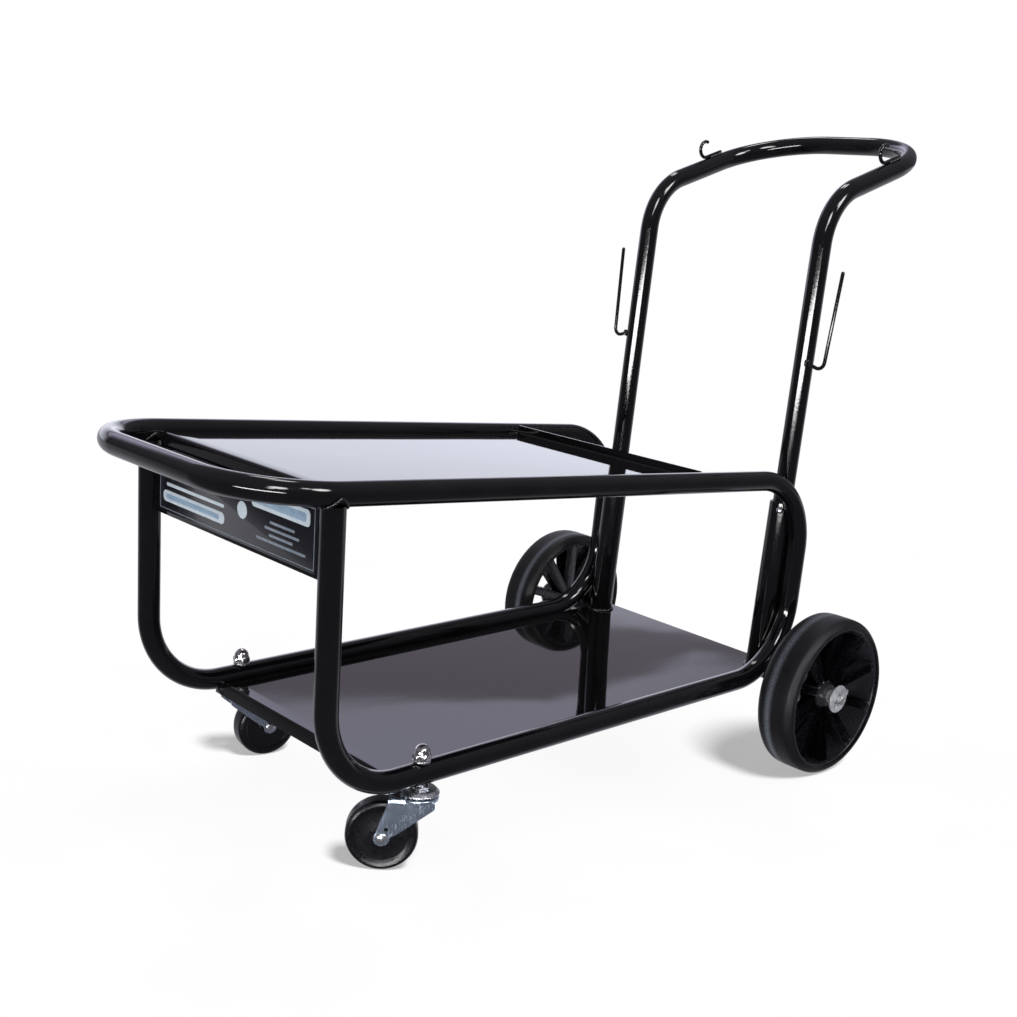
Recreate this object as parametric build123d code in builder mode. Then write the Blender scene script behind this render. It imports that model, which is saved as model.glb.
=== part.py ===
"""Tubular equipment cart: two side hoops, a front loop, two decks, a push handle,
two fixed rear wheels on one axle and two swivel casters at the front.

Units are millimetres.  +Z is up, the casters are at the -Y end, the handle is at the +Y end,
and the origin is on the floor under the middle of the cart's bounding box.
"""
from build123d import *
import math
import os

os.makedirs("parts", exist_ok=True)

# ---------------------------------------------------------------- frame tube
tube_od = 25.0
tube_wall = 1.5
bend_radius = 94.0
tube_r = tube_od / 2

# ---------------------------------------------------------------- layout
upright_y = -448.1
rail_x = 171.0
bottom_rail_z = 103.7
bottom_rail_rise = 0.97
top_rail_z = 409.9
top_rail_fall = 3.06
upright_lean = 1.81
riser_y = upright_y + 735.4
riser_lean = 1.15
front_overhang = 96.0
butt_joint_setback = 60.0

# ---------------------------------------------------------------- decks and panel
sheet = 2.0
tray_front = -4.0
tray_rear = 541.0
tray_height = 1.0
tray_lip = 20.0
tray_lip_half_width = 154.0
tray_flange = 10.5
shelf_front = 92.0
shelf_rear = 755.0
shelf_height = -3.0
shelf_lip = 16.0
shelf_lip_half_width = 176.0
deck_half_width = rail_x - 10.0
panel_low = 219.0
panel_high = 294.5
decal_width = 296.0
decal_film = 0.4

# ---------------------------------------------------------------- push handle
leg_x = 144.6
leg_y = upright_y + 725.3
leg_lean = 2.06
leg_foot_z = 118.0
handle_knee_z = 722.8
handle_knee_radius = 82.0
arm_rise = 18.9
arm_length = 258.4
arm_corner_radius = 112.0
socket_od = 32.4
socket_bore = 25.6
socket_top_z = 337.0
clamp_screw_z = 327.0

# ---------------------------------------------------------------- wire hooks
wire_d = 4.8
j_hook_z = 518.0
j_hook_height = 120.0
left_j_hook_spread = (36.0, 43.5)
right_j_hook_spread = (31.5, 36.0)
left_c_hook_reach = 128.0
right_c_hook_reach = 116.0
c_hook_radius = 11.0
c_hook_turn = 225.0
c_hook_foot = 34.0

# ---------------------------------------------------------------- rear axle and wheels
axle_y = upright_y + 739.0
axle_z = 102.4
axle_d = 12.0
axle_half_length = 272.0
sleeve_od = 17.1
sleeve_bore = 12.4
sleeve_half_length = 203.5
gusset_thickness = 5.0
wheel_x = 236.0
wheel_r = 102.4
wheel_width = 55.0
rim_r = 93.0
rim_wall = 4.0
shoulder_radius = 8.0
rim_half_width = 23.0
hub_boss_r = 17.0
hub_inner = -28.5
hub_outer = 14.5
bush_od = 16.0
running_clearance = 0.05
spoke_pairs = 10
spoke_gap = 9.0
spoke_thickness = 3.2
spoke_depth = 23.5
spoke_length = rim_r - rim_wall - hub_boss_r + 2.0
spoke_web = 4.0

# ---------------------------------------------------------------- casters
caster_y = upright_y + 123.0
caster_trail = 35.5
caster_wheel_r = 38.0
caster_wheel_width = 24.0
left_caster_angle = -130.0
right_caster_angle = 82.0
stem_d = 12.0
fork_top_z = 83.0
fork_plate = 2.5
fork_gap = 28.0
ball_d = 5.0
ball_pitch_r = 14.5
ball_count = 12
cup_plate = 2.0
collar_af = 19.0
collar_top_z = 93.0
rivet_d = 8.0
nut_af = 18.0
washer_z = 118.6


# ---------------------------------------------------------------- shared geometry
def rail_bottom_z(y):
    """Height of the lower rail's centre line at y."""
    return bottom_rail_z + (y - upright_y) * math.tan(math.radians(bottom_rail_rise))


def rail_top_z(y):
    """Height of the upper rail's centre line at y."""
    return top_rail_z - (y - upright_y) * math.tan(math.radians(top_rail_fall))


def leg_centre_y(z):
    """Y of the handle leg's centre line at height z."""
    return leg_y + (z - bottom_rail_z) * math.tan(math.radians(leg_lean))


def crossing(point_a, angle_a, point_b, angle_b):
    """Where two lines in the Y-Z plane cross; angles are in degrees from +Y."""
    ay, az = point_a
    by, bz = point_b
    cos_a, sin_a = math.cos(math.radians(angle_a)), math.sin(math.radians(angle_a))
    cos_b, sin_b = math.cos(math.radians(angle_b)), math.sin(math.radians(angle_b))
    along = ((by - ay) * sin_b - (bz - az) * cos_b) / (cos_a * sin_b - sin_a * cos_b)
    return (ay + along * cos_a, az + along * sin_a)


def bar_along(path, radius):
    """A solid round bar that follows a path."""
    with BuildPart() as bar:
        with BuildSketch(Plane(origin=path @ 0, z_dir=path % 0)):
            Circle(radius)
        sweep(path=path)
    return bar.part


top_deck_plane = Plane(
    origin=(0, upright_y, top_rail_z),
    x_dir=(1, 0, 0),
    z_dir=(0, math.sin(math.radians(top_rail_fall)), math.cos(math.radians(top_rail_fall))),
)
shelf_plane = Plane(
    origin=(0, upright_y, bottom_rail_z),
    x_dir=(1, 0, 0),
    z_dir=(0, -math.sin(math.radians(bottom_rail_rise)), math.cos(math.radians(bottom_rail_rise))),
)
top_deck_section = Plane(origin=top_deck_plane.origin, x_dir=top_deck_plane.y_dir, z_dir=(1, 0, 0))
shelf_section = Plane(origin=shelf_plane.origin, x_dir=shelf_plane.y_dir, z_dir=(1, 0, 0))

bottom_line = ((upright_y, bottom_rail_z), bottom_rail_rise)
top_line = ((upright_y, top_rail_z), -top_rail_fall)
upright_line = ((upright_y, bottom_rail_z), 90 + upright_lean)
riser_line = ((riser_y, bottom_rail_z), 90 - riser_lean)

hoop_start = crossing(*upright_line, *top_line)
hoop_front_low = crossing(*upright_line, *bottom_line)
hoop_rear_low = crossing(*bottom_line, *riser_line)
hoop_rear_high = crossing(*riser_line, *top_line)
butt_y = upright_y + butt_joint_setback * math.cos(math.radians(top_rail_fall))
hoop_end = (butt_y, rail_top_z(butt_y))

with BuildLine(Plane.YZ.offset(rail_x)) as hoop_path:
    FilletPolyline(
        hoop_start,
        hoop_front_low,
        hoop_rear_low,
        hoop_rear_high,
        hoop_end,
        radius=bend_radius,
    )

with BuildLine(top_deck_plane) as loop_path:
    FilletPolyline(
        (-rail_x, butt_joint_setback),
        (-rail_x, -front_overhang),
        (rail_x, -front_overhang),
        (rail_x, butt_joint_setback),
        radius=front_overhang - 0.5,
    )

hoop_bar = bar_along(hoop_path.wire(), tube_r)
hoop_bar_right = hoop_bar.mirror(Plane.YZ)
loop_bar = bar_along(loop_path.wire(), tube_r)


# ---------------------------------------------------------------- front loop and side hoops
with BuildPart() as front_loop_tube:
    with BuildSketch(Plane(origin=loop_path.wire() @ 0, z_dir=loop_path.wire() % 0)):
        Circle(tube_r)
        Circle(tube_r - tube_wall, mode=Mode.SUBTRACT)
    sweep(path=loop_path.wire())
front_loop_tube.part.label = "front_loop_tube"
export_step(front_loop_tube.part, "parts/front_loop_tube.step")

with BuildPart() as side_hoop_left:
    with BuildSketch(Plane(origin=hoop_path.wire() @ 0, z_dir=hoop_path.wire() % 0)):
        Circle(tube_r)
        Circle(tube_r - tube_wall, mode=Mode.SUBTRACT)
    sweep(path=hoop_path.wire())
    # the upright's top end is coped to sit under the front loop
    add(loop_bar, mode=Mode.SUBTRACT)
    # clearance hole for the caster stem
    with Locations((rail_x, caster_y, rail_bottom_z(caster_y))):
        Cylinder(stem_d / 2 + 0.15, 3 * tube_od, mode=Mode.SUBTRACT)
side_hoop_left.part.label = "side_hoop_left"
export_step(side_hoop_left.part, "parts/side_hoop_left.step")

with BuildPart() as side_hoop_right:
    mirror(side_hoop_left.part, about=Plane.YZ)
side_hoop_right.part.label = "side_hoop_right"
export_step(side_hoop_right.part, "parts/side_hoop_right.step")


# ---------------------------------------------------------------- decks
with BuildPart() as top_tray:
    with BuildSketch(top_deck_section):
        with BuildLine():
            Polyline(
                (tray_front, tray_height - sheet),
                (tray_front, tray_height),
                (tray_rear - sheet, tray_height),
                (tray_rear - sheet, tray_height + tray_flange),
                (tray_rear, tray_height + tray_flange),
                (tray_rear, tray_height - sheet),
                close=True,
            )
        make_face()
    extrude(amount=deck_half_width, both=True)
    with BuildSketch(top_deck_section):
        with Locations((tray_front, tray_height)):
            Rectangle(sheet, tray_lip, align=(Align.MIN, Align.MAX))
    extrude(amount=tray_lip_half_width, both=True)
    fold_corner = top_deck_section.from_local_coords((tray_front, tray_height, 0))
    fold_edge = top_tray.edges().filter_by(Axis.X).sort_by_distance(fold_corner)[0]
    fillet(fold_edge, 1.9)
    add(hoop_bar, mode=Mode.SUBTRACT)
    add(hoop_bar_right, mode=Mode.SUBTRACT)
    add(loop_bar, mode=Mode.SUBTRACT)
top_tray.part.label = "top_tray"
export_step(top_tray.part, "parts/top_tray.step")

with BuildPart() as bottom_shelf:
    with BuildSketch(shelf_section):
        with Locations((shelf_front, shelf_height)):
            Rectangle(shelf_rear - shelf_front, sheet, align=(Align.MIN, Align.MAX))
    extrude(amount=deck_half_width, both=True)
    with BuildSketch(shelf_section):
        with Locations((shelf_front, shelf_height)):
            Rectangle(sheet, shelf_lip, align=(Align.MIN, Align.MAX))
    extrude(amount=shelf_lip_half_width, both=True)
    # the lip runs on under the rails and is notched around them
    add(hoop_bar, mode=Mode.SUBTRACT)
    add(hoop_bar_right, mode=Mode.SUBTRACT)
bottom_shelf.part.label = "bottom_shelf"
export_step(bottom_shelf.part, "parts/bottom_shelf.step")


# ---------------------------------------------------------------- front panel and its decal
panel_plane = Plane(
    origin=(0, upright_y, bottom_rail_z),
    x_dir=(1, 0, 0),
    z_dir=(0, -math.cos(math.radians(upright_lean)), -math.sin(math.radians(upright_lean))),
)

with BuildPart() as front_panel:
    with BuildSketch(panel_plane):
        with Locations((0, panel_low)):
            Rectangle(2 * deck_half_width, panel_high - panel_low, align=(Align.CENTER, Align.MIN))
    extrude(amount=sheet / 2, both=True)
    add(hoop_bar, mode=Mode.SUBTRACT)
    add(hoop_bar_right, mode=Mode.SUBTRACT)
    add(top_tray.part, mode=Mode.SUBTRACT)
front_panel.part.label = "front_panel"
export_step(front_panel.part, "parts/front_panel.step")

with BuildPart() as panel_decal:
    with BuildSketch(panel_plane.offset(sheet / 2)):
        with Locations((0, (panel_low + panel_high) / 2)):
            RectangleRounded(decal_width, panel_high - panel_low - 8.0, 3.0)
    extrude(amount=decal_film)
panel_decal.part.label = "panel_decal"
export_step(panel_decal.part, "parts/panel_decal.step")


# ---------------------------------------------------------------- push handle and its sockets
leg_direction = Vector(0, math.sin(math.radians(leg_lean)), math.cos(math.radians(leg_lean)))
knee = (leg_centre_y(handle_knee_z), handle_knee_z)
arm_start = 130.0
arm_cos, arm_sin = math.cos(math.radians(arm_rise)), math.sin(math.radians(arm_rise))
arm_plane = Plane(
    origin=(0, knee[0], knee[1]),
    x_dir=(1, 0, 0),
    z_dir=(0, -arm_sin, arm_cos),
)

with BuildLine(Plane.YZ.offset(leg_x)) as leg_path:
    FilletPolyline(
        (leg_centre_y(leg_foot_z), leg_foot_z),
        knee,
        (knee[0] + arm_start * arm_cos, knee[1] + arm_start * arm_sin),
        radius=handle_knee_radius,
    )

with BuildLine(arm_plane) as bow_path:
    FilletPolyline(
        (leg_x, arm_start),
        (leg_x, arm_length),
        (-leg_x, arm_length),
        (-leg_x, arm_start),
        radius=arm_corner_radius,
    )

with BuildLine() as handle_path:
    add(leg_path.line)
    add(bow_path.line)
    mirror(leg_path.line, about=Plane.YZ)

handle_wire = handle_path.wire()
handle_bar = bar_along(handle_wire, tube_r)

with BuildPart() as handle_tube:
    with BuildSketch(Plane(origin=handle_wire @ 0, z_dir=handle_wire % 0)):
        Circle(tube_r)
        Circle(tube_r - tube_wall, mode=Mode.SUBTRACT)
    sweep(path=handle_wire)
handle_tube.part.label = "handle_tube"
export_step(handle_tube.part, "parts/handle_tube.step")

socket_plane = Plane(
    origin=(leg_x, leg_centre_y(clamp_screw_z), clamp_screw_z),
    x_dir=(1, 0, 0),
    z_dir=leg_direction,
)
shelf_top_plane = shelf_plane.offset(shelf_height)
screw_swing = math.radians(62)
leg_front = Vector(0, -leg_direction.Z, leg_direction.Y)
screw_plane = Plane(
    origin=socket_plane.origin,
    x_dir=leg_direction,
    z_dir=Vector(math.cos(screw_swing), 0, 0) + leg_front * math.sin(screw_swing),
)
screw_seat = socket_od / 2
screw_shank_d = 6.0

with BuildPart() as handle_socket_left:
    with BuildSketch(socket_plane.offset(socket_top_z - clamp_screw_z)):
        Circle(socket_od / 2)
        Circle(socket_bore / 2, mode=Mode.SUBTRACT)
    extrude(amount=-(socket_top_z - bottom_rail_z))
    split(bisect_by=shelf_top_plane, keep=Keep.TOP)
    with BuildSketch(screw_plane):
        Circle(screw_shank_d / 2 + 0.1)
    extrude(amount=screw_seat + 2, mode=Mode.SUBTRACT)
    add(hoop_bar, mode=Mode.SUBTRACT)
handle_socket_left.part.label = "handle_socket_left"
export_step(handle_socket_left.part, "parts/handle_socket_left.step")

with BuildPart() as handle_socket_right:
    mirror(handle_socket_left.part, about=Plane.YZ)
handle_socket_right.part.label = "handle_socket_right"
export_step(handle_socket_right.part, "parts/handle_socket_right.step")

with BuildPart() as handle_clamp_screws:
    with BuildSketch(screw_plane.offset(tube_r + 0.05)):
        Circle(screw_shank_d / 2)
    extrude(amount=screw_seat - tube_r + 1)
    with BuildSketch(screw_plane.offset(screw_seat)):
        Circle(4.5)
    extrude(amount=3.2)
    fillet(handle_clamp_screws.faces().sort_by(Axis(screw_plane.origin, screw_plane.z_dir))[-1].edges(), 2.2)
    mirror(about=Plane.YZ)
handle_clamp_screws.part.label = "handle_clamp_screws"
export_step(handle_clamp_screws.part, "parts/handle_clamp_screws.step")


# ---------------------------------------------------------------- wire hooks
wire_r = wire_d / 2
j_hook_plane = Plane(
    origin=(leg_x, leg_centre_y(j_hook_z) - 8.6, j_hook_z),
    x_dir=(1, 0, 0),
    z_dir=Vector(1, 0, 0).cross(leg_direction),
)


def upright_hook(spread):
    """The left leg's upright wire hook: out from the leg, then up; spread is its offset at foot and tip."""
    foot_spread, tip_spread = spread
    with BuildLine(j_hook_plane) as path:
        FilletPolyline((8.0, 2.0), (foot_spread, -6.0), (tip_spread, j_hook_height), radius=9.0)
    with BuildPart() as hook:
        with BuildSketch(Plane(origin=path.wire() @ 0, z_dir=path.wire() % 0)):
            Circle(wire_r)
        sweep(path=path.wire())
        add(handle_bar, mode=Mode.SUBTRACT)
    return hook.part


with BuildPart() as cable_hook_left:
    add(upright_hook(left_j_hook_spread))
cable_hook_left.part.label = "cable_hook_left"
export_step(cable_hook_left.part, "parts/cable_hook_left.step")

with BuildPart() as cable_hook_right:
    add(upright_hook(right_j_hook_spread))
    mirror(about=Plane.YZ, mode=Mode.REPLACE)
cable_hook_right.part.label = "cable_hook_right"
export_step(cable_hook_right.part, "parts/cable_hook_right.step")

c_hook_plane = Plane(
    origin=(leg_x, knee[0], knee[1]),
    x_dir=(0, arm_cos, arm_sin),
    z_dir=(1, 0, 0),
)
c_hook_base = tube_r + wire_r


def arm_hook(reach):
    """The left arm's curled wire hook: a straight foot on top of the arm, then an open curl."""
    with BuildLine(c_hook_plane) as path:
        foot = Line((reach + c_hook_foot, c_hook_base), (reach, c_hook_base))
        JernArc(foot @ 1, foot % 1, c_hook_radius, -c_hook_turn)
    return bar_along(path.wire(), wire_r)


with BuildPart() as lead_hook_left:
    add(arm_hook(left_c_hook_reach))
lead_hook_left.part.label = "lead_hook_left"
export_step(lead_hook_left.part, "parts/lead_hook_left.step")

with BuildPart() as lead_hook_right:
    add(arm_hook(right_c_hook_reach))
    mirror(about=Plane.YZ, mode=Mode.REPLACE)
lead_hook_right.part.label = "lead_hook_right"
export_step(lead_hook_right.part, "parts/lead_hook_right.step")


# ---------------------------------------------------------------- weld beads
def ring_round(plane, radius, width, height):
    """A bead ring standing on a plane around a round member."""
    with BuildPart() as ring:
        with BuildSketch(plane):
            Circle(radius + width)
        extrude(amount=height)
        chamfer(ring.faces().sort_by(Axis(plane.origin, plane.z_dir))[-1].edges(), height * 0.6)
        with BuildSketch(plane.offset(-1)):
            Circle(radius)
        extrude(amount=height + 2, mode=Mode.SUBTRACT)
    return ring.part


bead = 2.4
upright_top_plane = Plane(
    origin=(rail_x, upright_y - 25 * math.sin(math.radians(upright_lean)), 340.0),
    z_dir=(0, -math.sin(math.radians(upright_lean)), math.cos(math.radians(upright_lean))),
)
loop_bar_thick = bar_along(loop_path.wire(), tube_r + bead)

with BuildPart() as upright_welds:
    with BuildSketch(upright_top_plane):
        Circle(tube_r + bead)
    extrude(amount=70)
    add(loop_bar_thick, mode=Mode.INTERSECT)
    add(loop_bar, mode=Mode.SUBTRACT)
    add(hoop_bar, mode=Mode.SUBTRACT)
    add(top_tray.part, mode=Mode.SUBTRACT)
    add(front_panel.part, mode=Mode.SUBTRACT)
    mirror(about=Plane.YZ)
upright_welds.part.label = "upright_welds"
export_step(upright_welds.part, "parts/upright_welds.step")

socket_foot_z = rail_bottom_z(leg_y) + shelf_height
foot_plane = Plane(
    origin=(leg_x, leg_centre_y(socket_foot_z), socket_foot_z),
    x_dir=(1, 0, 0),
    z_dir=shelf_plane.z_dir,
)
with BuildPart() as socket_welds:
    add(ring_round(foot_plane, socket_od / 2, 3.0, 3.0))
    add(handle_socket_left.part, mode=Mode.SUBTRACT)
    add(bottom_shelf.part, mode=Mode.SUBTRACT)
    add(hoop_bar, mode=Mode.SUBTRACT)
    mirror(about=Plane.YZ)
socket_welds.part.label = "socket_welds"
export_step(socket_welds.part, "parts/socket_welds.step")

j_root = j_hook_plane.from_local_coords((8.0, 2.0, 0))
j_root_direction = (j_hook_plane.from_local_coords((36.0, -6.0, 0)) - j_root).normalized()
j_bead_r = 4.2
c_bead_r = 1.8
c_bead_length = 20.0


def hook_beads(reach):
    """The weld beads that hold the left side's two wire hooks, with the handle tube cut away."""
    with BuildPart() as beads:
        with BuildSketch(Plane(origin=j_root, z_dir=j_root_direction)):
            Circle(j_bead_r)
        extrude(amount=7.0)
        for side in (-1, 1):
            bead_start = c_hook_plane.from_local_coords((reach + 8.0, tube_r + 0.6, side * 2.6))
            with BuildSketch(Plane(origin=bead_start, z_dir=c_hook_plane.x_dir)):
                Circle(c_bead_r)
            extrude(amount=c_bead_length)
        add(handle_bar, mode=Mode.SUBTRACT)
    return beads.part


with BuildPart() as hook_welds:
    add(hook_beads(right_c_hook_reach))
    mirror(about=Plane.YZ, mode=Mode.REPLACE)
    add(hook_beads(left_c_hook_reach))
    for wire_hook in (cable_hook_left, cable_hook_right, lead_hook_left, lead_hook_right):
        add(wire_hook.part, mode=Mode.SUBTRACT)
hook_welds.part.label = "hook_welds"
export_step(hook_welds.part, "parts/hook_welds.step")


# ---------------------------------------------------------------- rear axle
axle_plane = Plane.YZ
gusset_outline = (
    (axle_y - 14.0, axle_z),
    (riser_y - 32.0, 137.0),
    (riser_y - 16.4, 154.0),
    (axle_y + 14.0, axle_z),
)

with BuildPart() as axle_sleeve:
    with BuildSketch(axle_plane):
        with Locations((axle_y, axle_z)):
            Circle(sleeve_od / 2)
            Circle(sleeve_bore / 2, mode=Mode.SUBTRACT)
    extrude(amount=sleeve_half_length, both=True)
axle_sleeve.part.label = "axle_sleeve"
export_step(axle_sleeve.part, "parts/axle_sleeve.step")

with BuildPart() as axle_gussets:
    with BuildSketch(axle_plane.offset(rail_x)):
        with Locations((axle_y, axle_z)):
            Circle(14.0)
        with BuildLine():
            Polyline(*gusset_outline, close=True)
        make_face()
        with Locations((axle_y, axle_z)):
            Circle(sleeve_od / 2, mode=Mode.SUBTRACT)
    extrude(amount=gusset_thickness / 2, both=True)
    add(hoop_bar, mode=Mode.SUBTRACT)
    mirror(about=Plane.YZ)
axle_gussets.part.label = "axle_gussets"
export_step(axle_gussets.part, "parts/axle_gussets.step")

pin_x = 267.5
pin_d = 3.2
pin_tilt = 40.0

with BuildPart() as axle_rod:
    with BuildSketch(axle_plane):
        with Locations((axle_y, axle_z)):
            Circle(axle_d / 2)
    extrude(amount=axle_half_length, both=True)
    chamfer(axle_rod.edges().filter_by(GeomType.CIRCLE), 0.8)
    with Locations(
        Location((pin_x, axle_y, axle_z), (-90 + pin_tilt, 0, 0)),
        Location((-pin_x, axle_y, axle_z), (-90 + pin_tilt, 0, 0)),
    ):
        Cylinder(pin_d / 2 + 0.1, 2 * axle_d, mode=Mode.SUBTRACT)
axle_rod.part.label = "axle_rod"
export_step(axle_rod.part, "parts/axle_rod.step")


def ring_on_axle(inboard, outboard, outer_d, bore_d):
    """A ring round the axle between two X positions."""
    with BuildPart() as ring:
        with BuildSketch(axle_plane.offset(inboard)):
            with Locations((axle_y, axle_z)):
                Circle(outer_d / 2)
                Circle(bore_d / 2, mode=Mode.SUBTRACT)
        extrude(amount=outboard - inboard)
    return ring.part


hub_start = wheel_x + hub_inner
hub_end = wheel_x + hub_outer
outer_washer_x = 262.0

with BuildPart() as axle_inner_washers:
    add(ring_on_axle(sleeve_half_length + 0.5, hub_start - 0.3, 26.0, axle_d + 0.3))
    mirror(about=Plane.YZ)
axle_inner_washers.part.label = "axle_inner_washers"
export_step(axle_inner_washers.part, "parts/axle_inner_washers.step")

with BuildPart() as axle_spacers:
    add(ring_on_axle(hub_end + 0.3, outer_washer_x - 0.1, 17.0, axle_d + 0.3))
    mirror(about=Plane.YZ)
axle_spacers.part.label = "axle_spacers"
export_step(axle_spacers.part, "parts/axle_spacers.step")

with BuildPart() as axle_outer_washers:
    add(ring_on_axle(outer_washer_x, outer_washer_x + 2.5, 36.0, axle_d + 0.3))
    chamfer(axle_outer_washers.edges().filter_by(GeomType.CIRCLE).group_by(SortBy.LENGTH)[-1], 0.5)
    mirror(about=Plane.YZ)
axle_outer_washers.part.label = "axle_outer_washers"
export_step(axle_outer_washers.part, "parts/axle_outer_washers.step")

pin_plane = Plane(
    origin=(pin_x, axle_y, axle_z),
    x_dir=(0, math.cos(math.radians(pin_tilt)), math.sin(math.radians(pin_tilt))),
    z_dir=(1, 0, 0),
)
pin_half = 9.0
pin_eye_r = 3.8

with BuildLine(pin_plane) as pin_path:
    pin_shank = Line((-pin_half, 0), (pin_half, 0))
with BuildLine(pin_plane) as pin_eye_path:
    CenterArc((pin_half + pin_eye_r, 0), pin_eye_r, 0, 360)

with BuildPart() as cotter_pins:
    with BuildSketch(Plane(origin=pin_path.line @ 0, z_dir=pin_path.line % 0)):
        Circle(pin_d / 2)
    sweep(path=pin_path.line)
    with BuildSketch(Plane(origin=pin_eye_path.line @ 0, z_dir=pin_eye_path.line % 0)):
        Circle(1.2)
    sweep(path=pin_eye_path.line)
    for splay in (35, -35):
        with BuildSketch(
            Plane(
                origin=pin_plane.from_local_coords((-pin_half + 1.0, 0, 0)),
                z_dir=pin_plane.x_dir.rotate(Axis.X, splay) * -1,
            )
        ):
            Circle(1.3)
        extrude(amount=6.5)
    mirror(about=Plane.YZ)
cotter_pins.part.label = "cotter_pins"
export_step(cotter_pins.part, "parts/cotter_pins.step")


# ---------------------------------------------------------------- rear wheels
wheel_axis = Axis((0, axle_y, axle_z), (1, 0, 0))
wheel_section = Plane(origin=(wheel_x, axle_y, axle_z), x_dir=(1, 0, 0), z_dir=(0, -1, 0))

with BuildPart() as wheel_tyre_left:
    with BuildSketch(wheel_section) as tyre_profile:
        with Locations((0, rim_r)):
            Rectangle(wheel_width, wheel_r - rim_r, align=(Align.CENTER, Align.MIN))
        fillet(tyre_profile.vertices().group_by(Axis.Y)[-1], shoulder_radius)
        # a shallow step on each side of the tread band
        for side in (-1, 1):
            with Locations((side * wheel_width * 0.32, wheel_r)):
                Circle(1.0, mode=Mode.SUBTRACT)
    revolve(axis=wheel_axis)
wheel_tyre_left.part.label = "wheel_tyre_left"
export_step(wheel_tyre_left.part, "parts/wheel_tyre_left.step")

with BuildPart() as wheel_hub_left:
    with BuildSketch(wheel_section):
        with Locations((0, rim_r)):
            Rectangle(2 * rim_half_width, rim_wall, align=(Align.CENTER, Align.MAX))
        with Locations(((hub_inner + hub_outer) / 2, bush_od / 2)):
            Rectangle(hub_outer - hub_inner, hub_boss_r - bush_od / 2, align=(Align.CENTER, Align.MIN))
    revolve(axis=wheel_axis)
    with BuildSketch(axle_plane.offset(wheel_x - spoke_depth / 2 - 4.0)):
        with Locations((axle_y, axle_z)):
            with PolarLocations(0, spoke_pairs, start_angle=18):
                for side in (-1, 1):
                    with Locations((hub_boss_r - 1, side * spoke_gap / 2)):
                        Rectangle(spoke_length, spoke_thickness, align=(Align.MIN, Align.CENTER))
    extrude(amount=spoke_depth)
    # each pair of ribs is joined by a web, so a spoke is a channel open to the outside
    with BuildSketch(axle_plane.offset(wheel_x - spoke_depth / 2 - 4.0)):
        with Locations((axle_y, axle_z)):
            with PolarLocations(0, spoke_pairs, start_angle=18):
                with Locations((hub_boss_r - 1, 0)):
                    Rectangle(spoke_length, spoke_gap, align=(Align.MIN, Align.CENTER))
    extrude(amount=spoke_web)
wheel_hub_left.part.label = "wheel_hub_left"
export_step(wheel_hub_left.part, "parts/wheel_hub_left.step")

with BuildPart() as wheel_bush_left:
    add(ring_on_axle(hub_start, hub_end, bush_od, axle_d + 2 * running_clearance))
wheel_bush_left.part.label = "wheel_bush_left"
export_step(wheel_bush_left.part, "parts/wheel_bush_left.step")

with BuildPart() as wheel_tyre_right:
    mirror(wheel_tyre_left.part, about=Plane.YZ)
wheel_tyre_right.part.label = "wheel_tyre_right"
export_step(wheel_tyre_right.part, "parts/wheel_tyre_right.step")

with BuildPart() as wheel_hub_right:
    mirror(wheel_hub_left.part, about=Plane.YZ)
wheel_hub_right.part.label = "wheel_hub_right"
export_step(wheel_hub_right.part, "parts/wheel_hub_right.step")

with BuildPart() as wheel_bush_right:
    mirror(wheel_bush_left.part, about=Plane.YZ)
wheel_bush_right.part.label = "wheel_bush_right"
export_step(wheel_bush_right.part, "parts/wheel_bush_right.step")


# ---------------------------------------------------------------- caster pieces, stem axis on Z
fork_bottom_z = fork_top_z - fork_plate
ball_z = fork_top_z + ball_d / 2 + running_clearance
cup_bottom_z = ball_z + ball_d / 2 + running_clearance
cup_top_z = cup_bottom_z + cup_plate
fork_y = fork_gap / 2

with BuildPart() as caster_stem:
    with BuildSketch(Plane.XY.offset(fork_bottom_z - 2.2)):
        Circle(10.0)
    extrude(amount=2.1)
    with BuildSketch(Plane.XY.offset(fork_bottom_z - 1)):
        Circle(stem_d / 2)
    extrude(amount=132.0 - fork_bottom_z)
    with BuildSketch(Plane.XY.offset(cup_top_z)):
        RegularPolygon(collar_af / 2, 6, major_radius=False)
    extrude(amount=collar_top_z - cup_top_z)
    chamfer(caster_stem.faces().sort_by(Axis.Z)[-1].edges(), 1.0)

with BuildPart() as caster_cup:
    with BuildSketch(Plane.XZ):
        with BuildLine():
            Polyline(
                (stem_d / 2, cup_bottom_z),
                (stem_d / 2, cup_top_z),
                (18.0, cup_top_z),
                (21.5, cup_bottom_z - 2.4),
                (19.6, cup_bottom_z - 2.8),
                (17.2, cup_bottom_z),
                close=True,
            )
        make_face()
    revolve(axis=Axis.Z)

with BuildPart() as caster_balls:
    with Locations((0, 0, ball_z)):
        with PolarLocations(ball_pitch_r, ball_count):
            Sphere(ball_d / 2)

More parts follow.
